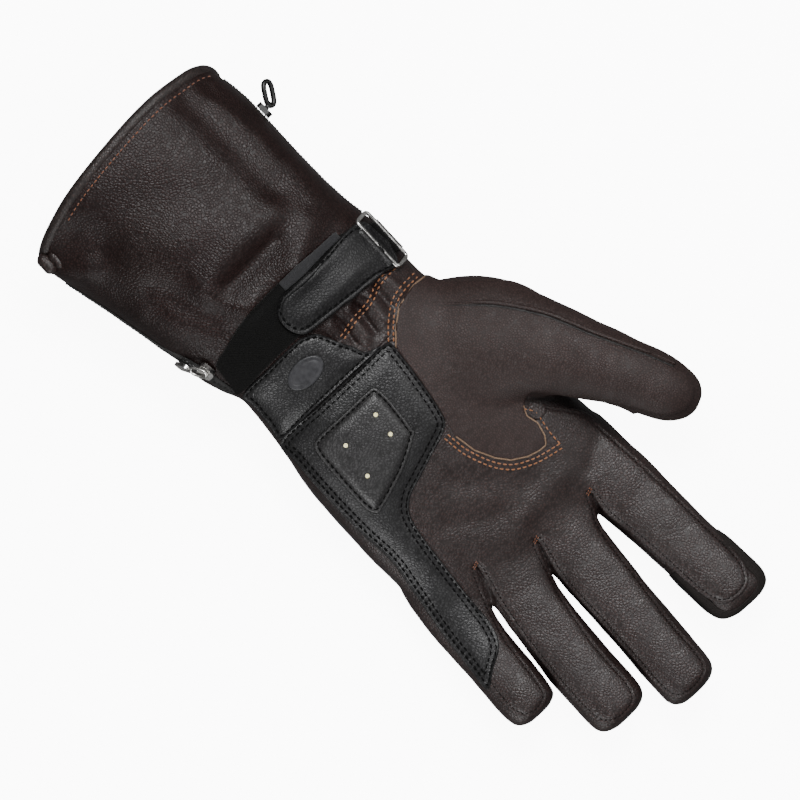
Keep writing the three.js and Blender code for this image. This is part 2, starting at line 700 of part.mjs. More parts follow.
// The slot that a zip fills in the wall, between two shares of the cuff's length
function zipSlot(side, start, end, clearance) {
  const from = -STRAP_LINE - start * CUFF_LENGTH + clearance;
  const to = -STRAP_LINE - end * CUFF_LENGTH - clearance;
  const stations = [to, ...gauntletStations.filter((y) => y > to && y < from), from];
  const reach = ZIP_WIDTH / 2 + clearance;
  return wedge(stations.map((y) => {
    const { x, z } = seamAt(y, side);
    const near = x - side * CUFF_WIDTH * ZIP_REACH;
    const far = x + side * WALL;
    return [[near, y, z - reach], [far, y, z - reach], [far, y, z + reach], [near, y, z + reach]];
  }));
}
const ulnarStart = (-STRAP_LINE - wristEdge.at(-2).y) / CUFF_LENGTH + ULNAR_ZIP_CLEAR;
const radialSlot = (clearance) => zipSlot(-1, RADIAL_ZIP_START, RADIAL_ZIP_END, clearance);
const ulnarSlot = (clearance) => zipSlot(1, ulnarStart, ULNAR_ZIP_END, clearance);
const slots = radialSlot(GAP).add(ulnarSlot(GAP));
const cuffFront = gauntlet.intersect(gauntletFront(half)).subtract(slots);
const cuffBack = gauntlet.subtract(gauntletFront(-half)).subtract(slots);

// The rolled binding round the mouth, with the nub where its ends are folded together.
// The nub's sizes are shares of the binding's.
const NUB = { across: 1.1, along: 1.25, up: 1.5 };
function bindingSolid() {
  const mouth = sleeveSections[0];
  const wide = BINDING_WIDTH / 2;
  const tall = WALL / 2 + BINDING_PROUD;
  const rim = sleeveRing(mouth, SLEEVE_SIDES, -WALL / 2);
  const path = rim.map((p) => new THREE.Vector3(p.x, p.y - wide - GAP, Math.max(p.z, tall)));
  const middle = new THREE.Vector3(0, mouth.y, mouthMiddle);
  const normals = path.map((p) => p.clone().sub(middle).setY(0).normalize());
  const ring = solidOf(sweptLoop(path, normals, wide, tall, BINDING_SIDES));
  const nub = new THREE.SphereGeometry(1, 8, 6);
  nub.scale(tall * NUB.across, wide * NUB.along, tall * NUB.up);
  nub.translate(path[0].x + BINDING_PROUD, path[0].y - BINDING_PROUD, path[0].z + tall);
  return ring.add(solidOf(nub)).intersect(block([-FAR, -FAR, 0], [FAR, FAR, FAR])).subtract(gauntletCap);
}
const gauntletCap = sleeveSolid(SLEEVE_SIDES, GAP, false);

// Overlay pieces. Outlines in shares of the palm's width and length.
const PATCH_EDGE = table('x y', [
  [-0.21, 0.20], [-0.24, 0.13], [-0.26, 0.00], [-0.275, -0.15], [-0.265, -0.20], [0.40, -0.20],
  [0.40, 0.45], [0.36, 0.80], [0.385, 1.03], [0.38, 1.09], [0.25, 1.01], [0.22, 0.97],
  [0.20, 0.90], [0.19, 0.80], [0.18, 0.70], [0.17, 0.60], [0.16, 0.50], [0.15, 0.43], [0.13, 0.36],
  [0.08, 0.31], [0.00, 0.28], [-0.10, 0.245],
]);
const HEEL_PATCH_EDGE = table('x y', [
  [-0.235, -0.208], [-0.18, -0.23], [-0.13, -0.33], [-0.09, -0.41], [-0.05, -0.435], [0.00, -0.445],
  [0.30, -0.44], [0.31, -0.40], [0.34, -0.208],
]);
const PAD_EDGE = table('x y', [
  [-0.10, 0.14], [0.00, 0.20], [0.10, 0.24], [0.20, 0.27], [0.23, 0.265], [0.245, 0.20], [0.24, 0.00],
  [0.23, -0.08], [0.20, -0.11], [-0.08, -0.11], [-0.11, -0.10], [-0.12, -0.05], [-0.115, 0.05],
  [-0.105, 0.13],
]);
const DOTS = table('x y', [[-0.03, 0.076], [0.15, 0.135], [0.13, -0.012], [-0.04, -0.02]]);
const DOT_RADIUS = 1.2;
const BADGE = { x: 0.05 * PALM_WIDTH, y: -0.33 * PALM_LENGTH, radiusX: 8.5, radiusY: 5.2 };
const BAND_EDGE = table('x y', [
  [-0.46, -0.455], [0.30, -0.452], [0.305, -0.50], [0.295, -0.57], [0.28, -0.60], [0.20, -0.62],
  [0.10, -0.645], [-0.10, -0.66], [-0.12, -0.62], [-0.46, -0.605],
]);
const TAB_EDGE = table('x y', [
  [-0.49, -0.412], [-0.30, -0.422], [-0.08, -0.44], [-0.045, -0.455], [-0.022, -0.49], [-0.015, -0.53],
  [-0.022, -0.57], [-0.045, -0.60], [-0.08, -0.618], [-0.12, -0.622], [-0.49, -0.615],
]);
const LABEL_EDGE = table('x y', [[-0.41, -0.627], [-0.135, -0.627], [-0.135, -0.66], [-0.41, -0.66]]);

// A layer inside an outline, over a height that keeps it off the underside
function overlay(edge, offset, thickness, bottom) {
  return layer(offset, offset + thickness).intersect(prism(planPoints(edge), bottom, FAR));
}
const OVER_WRIST = 0.6;       // share of the wrist's depth: the strap's layers are over it
const overWrist = WRIST_DEPTH * OVER_WRIST;
const patchOffset = GAP;
const padOffset = patchOffset + PATCH_THICK + GAP;
const dotOffset = padOffset + PAD_THICK + GAP;
const bandOffset = GAP;
const tabOffset = bandOffset + BAND_THICK + GAP;
const onSeam = palmSide(half);
const palmPatch = overlay(PATCH_EDGE, patchOffset, PATCH_THICK, 0).intersect(onSeam);
const heelPatch = overlay(HEEL_PATCH_EDGE, patchOffset, PATCH_THICK, 0).intersect(onSeam);
const patchPad = overlay(PAD_EDGE, padOffset, PAD_THICK, thenarHeight);
const badge = layer(padOffset, padOffset + BADGE_HEIGHT)
  .intersect(upright(BADGE.x, BADGE.y, BADGE.radiusX, BADGE.radiusY, 16, thenarHeight, FAR));
const dots = DOTS.map((dot) => layer(dotOffset, dotOffset + DOT_HEIGHT).intersect(
  upright(dot.x * PALM_WIDTH, dot.y * PALM_LENGTH, DOT_RADIUS, DOT_RADIUS, 8, thenarHeight, FAR)));
const loopBand = overlay(BAND_EDGE, bandOffset, BAND_THICK, overWrist);
const edgeLabel = overlay(LABEL_EDGE, bandOffset, LABEL_THICK, overWrist);

// Overlay on the back and the sides of the index fingertip
const CAP_START = 0.81;       // share of the index finger's reach
function indexCap() {
  const [index] = FINGERS;
  const skin = fingerSolid(index, FINGER_SIDES, GAP + CAP_THICK).subtract(fingerSolid(index, FINGER_SIDES, GAP));
  const tip = block([-FAR, CAP_START * index.reach, -FAR], [FAR, FAR, FAR]);
  return skin.intersect(tip).subtract(palmSide(-half));
}

// A round bar between two places
function bar(from, to, radius, sides) {
  const along = to.clone().sub(from);
  const geometry = new THREE.CylinderGeometry(radius, radius, along.length(), sides);
  geometry.applyQuaternion(new THREE.Quaternion().setFromUnitVectors(
    new THREE.Vector3(0, 1, 0), along.clone().normalize()));
  geometry.translate(...from.clone().add(to).multiplyScalar(0.5).toArray());
  return solidOf(geometry);
}

// The strap's metal ring: two long bars, one in the tab's fold and one in the keeper
const RING_SPAN = 8.3;        // between the bars
const RING_TILT = THREE.MathUtils.degToRad(44);
const RING_CORNER = 1.6;
const KEEPER_THICK = 2.3;
const KEEPER_WIDTH = 15;
const KEEPER_LOW = 0.45;      // share of the wrist's depth where the keeper ends on the side
const RING_SHIFT = 0.04;      // share of the strap's width that the ring sits nearer the mouth
const wireRadius = RING_WIRE / 2;
const foldRadius = wireRadius + GAP + BAND_THICK;
const ringMiddle = -STRAP_LINE - RING_SHIFT * STRAP_WIDTH;
const tabEnd = TAB_EDGE[0].x * PALM_WIDTH;
const foldX = tabEnd - wireRadius - GAP - half;

// The ring lies along the leather under it, clear of its highest place
const [cuffSeat, middleSeat, palmSeat] = [-1, 0, 1].map((side) => {
  const y = ringMiddle + (side * RING_LENGTH) / 2;
  return new THREE.Vector3(foldX, y, skinHeight(foldX, y, GAP + foldRadius + GAP));
});
const ringAlong = palmSeat.clone().sub(cuffSeat).normalize();
const foldBar = palmSeat.clone().lerp(cuffSeat, 0.5);
foldBar.z = Math.max(foldBar.z, middleSeat.z);
const acrossRing = new THREE.Vector3(Math.cos(RING_TILT), 0, Math.sin(RING_TILT))
  .projectOnPlane(ringAlong).normalize();
const keeperBar = foldBar.clone().addScaledVector(acrossRing, -RING_SPAN);

// A rounded rectangle's path in the plane of two directions
function roundedPath(middle, alongA, alongB, halfA, halfB, corner, steps) {
  const path = [];
  [[1, 1, 0], [-1, 1, 1], [-1, -1, 2], [1, -1, 3]].forEach(([a, b, quarter]) => {
    for (let i = 0; i <= steps; i += 1) {
      const angle = ((quarter + i / steps) * Math.PI) / 2;
      path.push(middle.clone()
        .addScaledVector(alongA, a * (halfA - corner) + corner * Math.cos(angle))
        .addScaledVector(alongB, b * (halfB - corner) + corner * Math.sin(angle)));
    }
  });
  return path;
}
const lengthwise = new THREE.Vector3(0, 1, 0);
const ringNormal = new THREE.Vector3().crossVectors(acrossRing, ringAlong);
const ringPath = roundedPath(foldBar.clone().lerp(keeperBar, 0.5), acrossRing, ringAlong,
  RING_SPAN / 2, RING_LENGTH / 2, RING_CORNER, 2);
const strapRing = solidOf(sweptLoop(ringPath, [ringNormal], wireRadius, wireRadius, RING_SIDES));

// A piece that a bar of the ring passes through
function alongBar(place, length, radius) {
  const reach = ringAlong.clone().multiplyScalar(length / 2);
  return bar(place.clone().sub(reach), place.clone().add(reach), radius, 12);
}
const tabLayer = overlay(TAB_EDGE, tabOffset, TAB_THICK, overWrist);
const strapTab = tabLayer
  .add(alongBar(foldBar, STRAP_WIDTH - 2 * GAP, foldRadius))
  .subtract(alongBar(foldBar, STRAP_WIDTH + 2 * PAST, wireRadius + GAP));
const keeperLayer = layer(GAP, GAP + KEEPER_THICK).intersect(block(
  [-FAR, ringMiddle - KEEPER_WIDTH / 2, WRIST_DEPTH * KEEPER_LOW],
  [tabEnd, ringMiddle + KEEPER_WIDTH / 2, keeperBar.z + PAST / 2]));
const ringKeeper = keeperLayer
  .add(alongBar(keeperBar, KEEPER_WIDTH, foldRadius))
  .subtract(alongBar(keeperBar, STRAP_WIDTH + 2 * PAST, wireRadius + GAP));

// Hardware that is placed as a whole: its own axes are across, along and away from the leather
function placed(name, geometry, material, place, along, away) {
  const z = away.clone().normalize();
  const x = new THREE.Vector3().crossVectors(along, z).normalize();
  const y = new THREE.Vector3().crossVectors(z, x);
  const mesh = new THREE.Mesh(geometry, material.clone());
  mesh.name = name;
  mesh.quaternion.setFromRotationMatrix(new THREE.Matrix4().makeBasis(x, y, z));
  mesh.position.copy(place);
  return mesh;
}

// A flat plate with rounded corners, lying on its own plane
function plateGeometry(width, length, corner, thickness) {
  const shape = new THREE.Shape();
  shape.absarc(width / 2 - corner, length / 2 - corner, corner, 0, Math.PI / 2);
  shape.absarc(corner - width / 2, length / 2 - corner, corner, Math.PI / 2, Math.PI);
  shape.absarc(corner - width / 2, corner - length / 2, corner, Math.PI, 1.5 * Math.PI);
  shape.absarc(width / 2 - corner, corner - length / 2, corner, 1.5 * Math.PI, 2 * Math.PI);
  const geometry = new THREE.ExtrudeGeometry(shape, { depth: thickness, bevelEnabled: false, curveSegments: 3 });
  return geometry.translate(0, 0, -thickness / 2);
}

// A wire bent into a long loop on its own plane, round at both ends
const END_FLAT = 0.01;        // keeps the two corners of a round end apart
function wireGeometry(width, length, wire) {
  const path = roundedPath(new THREE.Vector3(), new THREE.Vector3(1, 0, 0), lengthwise,
    width / 2, length / 2, width / 2 - END_FLAT, 3);
  return sweptLoop(path, [new THREE.Vector3(0, 0, 1)], wire / 2, wire / 2, WIRE_SIDES);
}

// The skin's place over a spot in plan, and the way out of the leather there
function skinFrame(x, y) {
  const step = 0.5;
  const place = new THREE.Vector3(x, y, skinHeight(x, y));
  const slopeX = (skinHeight(x + step, y) - skinHeight(x - step, y)) / (2 * step);
  const slopeY = (skinHeight(x, y + step) - skinHeight(x, y - step)) / (2 * step);
  return { place, away: new THREE.Vector3(-slopeX, -slopeY, 1).normalize() };
}

// Materials, with the colours seen in the photo
const brownLeather = new THREE.MeshStandardMaterial({ color: 0x3b302c, roughness: 0.55, metalness: 0 });
const thumbLeather = new THREE.MeshStandardMaterial({ color: 0x41352f, roughness: 0.6, metalness: 0 });
const blackLeather = new THREE.MeshStandardMaterial({ color: 0x232325, roughness: 0.5, metalness: 0 });
const bindingLeather = new THREE.MeshStandardMaterial({ color: 0x2b2421, roughness: 0.55, metalness: 0 });
const gripFabric = new THREE.MeshStandardMaterial({ color: 0x1b1a1a, roughness: 0.9, metalness: 0 });
const loopFabric = new THREE.MeshStandardMaterial({ color: 0x171716, roughness: 1, metalness: 0 });
const labelFabric = new THREE.MeshStandardMaterial({ color: 0x4a4a4b, roughness: 0.85, metalness: 0 });
const creamRubber = new THREE.MeshStandardMaterial({ color: 0xd8d3ae, roughness: 0.7, metalness: 0 });
const badgeRubber = new THREE.MeshStandardMaterial({ color: 0x4b4b4e, roughness: 0.5, metalness: 0 });
const nickel = new THREE.MeshStandardMaterial({ color: 0xb9b8b4, roughness: 0.3, metalness: 1 });
const blackWire = new THREE.MeshStandardMaterial({ color: 0x121212, roughness: 0.45, metalness: 0 });
const zipTape = new THREE.MeshStandardMaterial({ color: 0x181716, roughness: 0.8, metalness: 0 });

const glove = new THREE.Group();
function addSolid(name, solid, material) {
  const mesh = new THREE.Mesh(geometryOf(whole(solid)), material.clone());
  mesh.name = name;
  glove.add(mesh);
}

addSolid('palm_panel', palmPanel, brownLeather);
addSolid('wrist_panel', wristPanel, brownLeather);
addSolid('back_panel', backPanel, brownLeather);
strips.forEach((strip) => addSolid(strip.name, behind.intersect(strip.zone(0)), brownLeather));
addSolid('thumb_front', thumbFrontPart, thumbLeather);
addSolid('thumb_back', thumbBackPart, thumbLeather);
addSolid('index_tip_cap', indexCap(), gripFabric);
addSolid('cuff_front', cuffFront, brownLeather);
addSolid('cuff_back', cuffBack, brownLeather);
addSolid('cuff_binding', bindingSolid(), bindingLeather);
addSolid('radial_zip', gauntlet.intersect(radialSlot(0)), zipTape);
addSolid('ulnar_zip', gauntlet.intersect(ulnarSlot(0)), zipTape);
addSolid('palm_patch', palmPatch, blackLeather);
addSolid('heel_patch', heelPatch, blackLeather);
addSolid('patch_pad', patchPad, blackLeather);
addSolid('plain_badge', badge, badgeRubber);
dots.forEach((dot, i) => addSolid(`vent_dot_${i + 1}`, dot, creamRubber));
addSolid('loop_band', loopBand, loopFabric);
addSolid('strap_tab', strapTab, blackLeather);
addSolid('edge_label', edgeLabel, labelFabric);
addSolid('strap_ring', strapRing, nickel);
addSolid('ring_keeper', ringKeeper, loopFabric);

// The thumb side's slider near the mouth, with its coated wire pull
const RADIAL_SLIDER_ALONG = 0.80;   // share of the cuff's length from the strap
const SLIDER_CORNER = 1.6;
const radialSliderY = -STRAP_LINE - RADIAL_SLIDER_ALONG * CUFF_LENGTH;
const radialSeat = seamAt(radialSliderY, -1);
const outward = new THREE.Vector3(-1, 0, 0);
const sliderGeometry = plateGeometry(SLIDER_WIDTH, SLIDER_LENGTH, SLIDER_CORNER, SLIDER_HEIGHT);
const radialSlider = new THREE.Vector3(radialSeat.x - 2 * GAP - SLIDER_HEIGHT / 2, radialSliderY, radialSeat.z);
glove.add(placed('radial_slider', sliderGeometry, blackWire, radialSlider, lengthwise, outward));
const pullAlong = new THREE.Vector3(-0.5, -0.86, 0.05).normalize();
const pullAway = new THREE.Vector3(-0.45, 0.35, 0.8);
const pullSideways = Math.abs(new THREE.Vector3().crossVectors(pullAlong, pullAway).normalize().x);
const pullMiddle = radialSlider.clone()
  .add(new THREE.Vector3(-(SLIDER_HEIGHT + PULL_WIRE + PULL_WIDTH * pullSideways) / 2, 0, 0))
  .addScaledVector(pullAlong, PULL_LENGTH / 2 - PULL_WIRE);
glove.add(placed('radial_pull', wireGeometry(PULL_WIDTH, PULL_LENGTH, PULL_WIRE), blackWire,
  pullMiddle, pullAlong, pullAway));

// The little finger side's slider at the wrist, with its bail and bright pull plate
const PLATE_CORNER = 1.8;
const ulnarSpot = { x: 0.322 * PALM_WIDTH, y: -STRAP_LINE - 0.12 * CUFF_LENGTH };
const ulnarSeat = skinFrame(ulnarSpot.x, ulnarSpot.y);
const sliderLift = 2 * GAP + SLIDER_HEIGHT / 2;
const ulnarSlider = ulnarSeat.place.clone().addScaledVector(ulnarSeat.away, sliderLift);
glove.add(placed('ulnar_slider', sliderGeometry.clone(), nickel, ulnarSlider, lengthwise, ulnarSeat.away));
const hangAlong = new THREE.Vector3(0.35, -0.9, -0.35).projectOnPlane(ulnarSeat.away).normalize();
const bailMiddle = ulnarSlider.clone()
  .addScaledVector(ulnarSeat.away, SLIDER_HEIGHT / 2 + GAP + BAIL_WIRE / 2)
  .addScaledVector(hangAlong, BAIL_LENGTH / 2 - BAIL_WIRE);
glove.add(placed('ulnar_bail', wireGeometry(BAIL_WIDTH, BAIL_LENGTH, BAIL_WIRE), nickel,
  bailMiddle, hangAlong, ulnarSeat.away));

// The plate hangs from the bail's end towards a place clear of the leather under it
const bailEnd = bailMiddle.clone().addScaledVector(hangAlong, (BAIL_LENGTH + BAIL_WIRE) / 2);
const pullReach = BAIL_LENGTH + PLATE_LENGTH / 2;
const plateSeat = skinFrame(ulnarSlider.x + hangAlong.x * pullReach, ulnarSlider.y + hangAlong.y * pullReach);
const plateAlong = plateSeat.place.clone()
  .addScaledVector(plateSeat.away, (PLATE_THICK + SLIDER_HEIGHT) / 2)
  .sub(bailEnd).normalize();
const plateMiddle = bailEnd.clone().addScaledVector(plateAlong, GAP + PLATE_LENGTH / 2);
glove.add(placed('ulnar_pull', plateGeometry(PLATE_WIDTH, PLATE_LENGTH, PLATE_CORNER, PLATE_THICK), nickel,
  plateMiddle, plateAlong, plateSeat.away));

export default glove;
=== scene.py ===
# Left heated gauntlet glove in dark brown leather, lying palm up, dressed for the render.
# Lengths are in millimetres until a mesh is made. +Y runs to the fingertips, +X to the
# little finger and +Z up out of the palm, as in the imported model.

import math

import bmesh
import bpy
import numpy as np
from mathutils import Matrix, Vector, noise
from mathutils.bvhtree import BVHTree
from mathutils.geometry import delaunay_2d_cdt


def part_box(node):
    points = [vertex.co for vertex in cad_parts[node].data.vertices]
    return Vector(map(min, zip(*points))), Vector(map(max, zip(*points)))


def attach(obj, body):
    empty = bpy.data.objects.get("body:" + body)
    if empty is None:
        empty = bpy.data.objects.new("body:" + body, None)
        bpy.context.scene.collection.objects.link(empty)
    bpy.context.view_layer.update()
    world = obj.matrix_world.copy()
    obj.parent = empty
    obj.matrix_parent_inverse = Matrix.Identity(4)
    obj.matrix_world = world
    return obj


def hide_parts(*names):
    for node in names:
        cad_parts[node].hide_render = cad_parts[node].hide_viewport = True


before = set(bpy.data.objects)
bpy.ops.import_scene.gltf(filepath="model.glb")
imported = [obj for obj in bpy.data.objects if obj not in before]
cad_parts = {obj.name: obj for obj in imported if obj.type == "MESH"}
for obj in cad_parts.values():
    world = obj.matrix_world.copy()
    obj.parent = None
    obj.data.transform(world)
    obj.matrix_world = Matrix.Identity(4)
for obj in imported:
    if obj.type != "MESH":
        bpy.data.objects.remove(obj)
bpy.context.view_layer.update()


MM = 0.001

# Camera, straight above, turned as the photograph is
VIEW_RIGHT = Vector((-0.731, 0.682, 0))
VIEW_UP = Vector((-0.682, -0.731, 0))
VIEW_MIDDLE = (-15.0, 0.3, 30.0)
VIEW_SPAN = 320
VIEW_LENS = 200
SENSOR = 36


# Leather's bumps: their heights in millimetres, how strongly each of them shows, and how far
# from its edge a pebble still rises, in cells
PATCH_HEIGHT = 1.2
PATCH_STRENGTH = 0.12
PEBBLE_HEIGHT = 0.16
PEBBLE_EDGE = 0.30
PORE_HEIGHT = 0.05
PORE_SHARE = 0.3

# The light all round, and the paper under the glove: its glow, half its side and its drop, in metres
WORLD_LIGHT = 0.20
PAPER_GLOW = 9.5
PAPER_HALF = 3
PAPER_DROP = 0.0002


# Materials
def new_material(name):
    material = bpy.data.materials.new(name)
    material.use_nodes = True
    nodes = material.node_tree.nodes
    shader = nodes["Principled BSDF"]
    where = nodes.new("ShaderNodeTexCoord").outputs["Object"]
    return material, nodes, material.node_tree.links, shader, where


def texture(nodes, links, where, kind, scale, **settings):
    node = nodes.new("ShaderNodeTex" + kind)
    inputs = {key: settings.pop(key) for key in list(settings) if key in node.inputs}
    for key, value in settings.items():
        setattr(node, key, value)
    node.inputs["Scale"].default_value = scale
    for key, value in inputs.items():
        node.inputs[key].default_value = value
    links.new(where, node.inputs["Vector"])
    return node


def blend_colors(nodes, links, factor, low, high, start, end):
    ramp = nodes.new("ShaderNodeValToRGB")
    ramp.color_ramp.elements[0].position = start
    ramp.color_ramp.elements[1].position = end
    ramp.color_ramp.elements[0].color = (*low, 1)
    ramp.color_ramp.elements[1].color = (*high, 1)
    links.new(factor, ramp.inputs["Fac"])
    return ramp.outputs["Color"]


def spread(nodes, links, factor, low, high, start=0.3, end=0.7):
    node = nodes.new("ShaderNodeMapRange")
    node.inputs["From Min"].default_value = start
    node.inputs["From Max"].default_value = end
    node.inputs["To Min"].default_value = low
    node.inputs["To Max"].default_value = high
    links.new(factor, node.inputs["Value"])
    return node.outputs["Result"]


def bumps(nodes, links, shader, layers):
    normal = None
    for height, strength, distance in layers:
        node = nodes.new("ShaderNodeBump")
        node.inputs["Strength"].default_value = strength
        node.inputs["Distance"].default_value = distance * MM
        links.new(height, node.inputs["Height"])
        if normal:
            links.new(normal, node.inputs["Normal"])
        normal = node.outputs["Normal"]
    links.new(normal, shader.inputs["Normal"])


def leather(name, dark, light, rough, grain=820, depth=0.68, shine=0.36):
    material, nodes, links, shader, where = new_material(name)
    cells = texture(nodes, links, where, "Voronoi", grain, feature="DISTANCE_TO_EDGE", Randomness=0.9)
    pebbles = spread(nodes, links, cells.outputs["Distance"], 0, 1, 0.0, PEBBLE_EDGE)
    shader.inputs["Specular IOR Level"].default_value = shine
    pores = texture(nodes, links, where, "Noise", grain * 2.3, Detail=3.0)
    patches = texture(nodes, links, where, "Noise", 32, Detail=5.0, Roughness=0.62)
    scuffs = texture(nodes, links, where, "Noise", 150, Detail=4.0)
    # Base colour: the patches' random tone times the pebbles' height, which paints shade into the crevices
    # between the pebbles and light onto their tops
    crevice_shade_and_tone = spread(nodes, links, pebbles, 0, 1, 0, 1)
    links.new(patches.outputs["Fac"], crevice_shade_and_tone.node.inputs["To Max"])
    links.new(blend_colors(nodes, links, crevice_shade_and_tone, dark, light, 0.02, 0.60), shader.inputs["Base Color"])
    links.new(
        spread(nodes, links, scuffs.outputs["Fac"], rough - 0.05, rough + 0.06),
        shader.inputs["Roughness"],
    )
    bumps(nodes, links, shader, [
        (patches.outputs["Fac"], PATCH_STRENGTH, PATCH_HEIGHT),
        (pebbles, depth, PEBBLE_HEIGHT),
        (pores.outputs["Fac"], depth * PORE_SHARE, PORE_HEIGHT),
    ])
    return material


def fabric(name, dark, light, rough, thread, depth, fuzz):
    material, nodes, links, shader, where = new_material(name)
    weave = texture(nodes, links, where, "Wave", thread, wave_type="BANDS",
                    bands_direction="DIAGONAL", Distortion=2.0)
    hairs = texture(nodes, links, where, "Noise", thread * 3, Detail=5.0)
    links.new(
        blend_colors(nodes, links, hairs.outputs["Fac"], dark, light, 0.35, 0.7),
        shader.inputs["Base Color"],
    )
    shader.inputs["Roughness"].default_value = rough
    shader.inputs["Sheen Weight"].default_value = fuzz
    shader.inputs["Specular IOR Level"].default_value = 0.12
    bumps(nodes, links, shader, [
        (weave.outputs["Fac"], depth, 0.25),
        (hairs.outputs["Fac"], depth, 0.4),
    ])
    return material


def hard(name, dark, light, rough, metal):
    material, nodes, links, shader, where = new_material(name)
    marks = texture(nodes, links, where, "Noise", 420, Detail=4.0)
    links.new(
        blend_colors(nodes, links, marks.outputs["Fac"], dark, light, 0.3, 0.7),
        shader.inputs["Base Color"],
    )
    links.new(
        spread(nodes, links, marks.outputs["Fac"], rough - 0.05, rough + 0.08),
        shader.inputs["Roughness"],
    )
    shader.inputs["Metallic"].default_value = metal
    shader.inputs["Specular IOR Level"].default_value = 0.5 if metal else 0.3
    bumps(nodes, links, shader, [(marks.outputs["Fac"], 0.08, 0.1)])
    return material


BROWN = leather("brown_leather", (0.0062, 0.0032, 0.0028), (0.0255, 0.0138, 0.0124), 0.48, shine=0.40)
# Painted shade: the cuff's leather is the brown leather made darker and less shiny, standing in for the
# lesser light on the cuff
CUFF_PAINTED_SHADE = leather("cuff_leather_painted_shade", (0.0050, 0.0024, 0.0021), (0.0180, 0.0092, 0.0083), 0.44, shine=0.19)
THUMB = leather("thumb_leather", (0.0110, 0.0059, 0.0052), (0.0310, 0.0178, 0.0158), 0.56,
                grain=1000, depth=0.65, shine=0.28)
BLACK_GRAIN = {"grain": 800, "depth": 0.5}
BLACK = leather("black_leather", (0.0036, 0.0035, 0.0037), (0.0160, 0.0158, 0.0164), 0.44,
                shine=0.36, **BLACK_GRAIN)
PAD = leather("pad_leather", (0.0052, 0.0049, 0.0050), (0.0280, 0.0268, 0.0274), 0.46,
              shine=0.50, **BLACK_GRAIN)
STRAP = leather("strap_leather", (0.0032, 0.0031, 0.0033), (0.0130, 0.0128, 0.0132), 0.48,
                shine=0.22, **BLACK_GRAIN)
BINDING = leather("binding_leather", (0.0060, 0.0038, 0.0034), (0.0270, 0.0180, 0.0160), 0.50)
SHADE = leather("shaded_leather", (0.0042, 0.0032, 0.0029), (0.0080, 0.0062, 0.0056), 0.60)
RAW = leather("raw_edge", (0.110, 0.066, 0.040), (0.230, 0.155, 0.100), 0.75, grain=1500, depth=0.4)
GRIP = fabric("grip_fabric", (0.0100, 0.0084, 0.0078), (0.0230, 0.0196, 0.0184), 0.85, 900, 0.6, 0.0)
LOOP = fabric("loop_fabric", (0.0010, 0.0010, 0.0010), (0.0042, 0.0040, 0.0038), 1.0, 700, 0.8, 0.03)
LABEL = fabric("label_fabric", (0.014, 0.014, 0.015), (0.032, 0.032, 0.034), 0.85, 1500, 0.5, 0.05)
TAPE = fabric("zip_tape", (0.0060, 0.0055, 0.0055), (0.0140, 0.0130, 0.0125), 0.85, 1300, 0.5, 0.2)
ORANGE = fabric("orange_thread", (0.210, 0.074, 0.027), (0.380, 0.160, 0.064), 0.7, 2600, 0.5, 0.2)
DARK = fabric("black_thread", (0.0010, 0.0010, 0.0011), (0.0028, 0.0028, 0.0029), 1.0, 2600, 0.5, 0.0)
RUST = fabric("rust_thread", (0.120, 0.035, 0.016), (0.220, 0.080, 0.035), 0.7, 2600, 0.5, 0.2)
SEWN = fabric("brown_thread", (0.0030, 0.0020, 0.0018), (0.0080, 0.0056, 0.0048), 0.9, 2600, 0.5, 0.0)
CREAM = hard("cream_rubber", (0.800, 0.720, 0.360), (0.940, 0.880, 0.540), 0.55, 0)
BADGE = hard("badge_rubber", (0.018, 0.018, 0.020), (0.034, 0.034, 0.037), 0.42, 0)
NICKEL = hard("nickel", (0.46, 0.455, 0.44), (0.70, 0.69, 0.67), 0.25, 1)
WIRE = hard("black_wire", (0.0020, 0.0020, 0.0020), (0.0050, 0.0050, 0.0050), 0.36, 0)


# Tables
def table(columns, rows):
    return [dict(zip(columns.split(), row)) for row in rows]


def smoothed(rows, steps):
    """Rows of numbers with smooth steps between each two"""
    values = np.array(rows, float)
    ends = np.vstack([2 * values[0] - values[1], values, 2 * values[-1] - values[-2]])
    out = []
    for k in range(len(values) - 1):
        a, b, c, d = ends[k:k + 4]
        for t in np.arange(steps) / steps:
            out.append(0.5 * (2 * b + (c - a) * t + (2 * a - 5 * b + 4 * c - d) * t ** 2
                              + (3 * b - a - 3 * c + d) * t ** 3))
    out.append(values[-1])
    return np.array(out)


def signed_power(value, exponent):
    return np.sign(value) * np.abs(value) ** exponent


def step_between(value, start, end):
    t = np.clip((np.asarray(value, float) - start) / (end - start), 0, 1)
    return t * t * (3 - 2 * t)


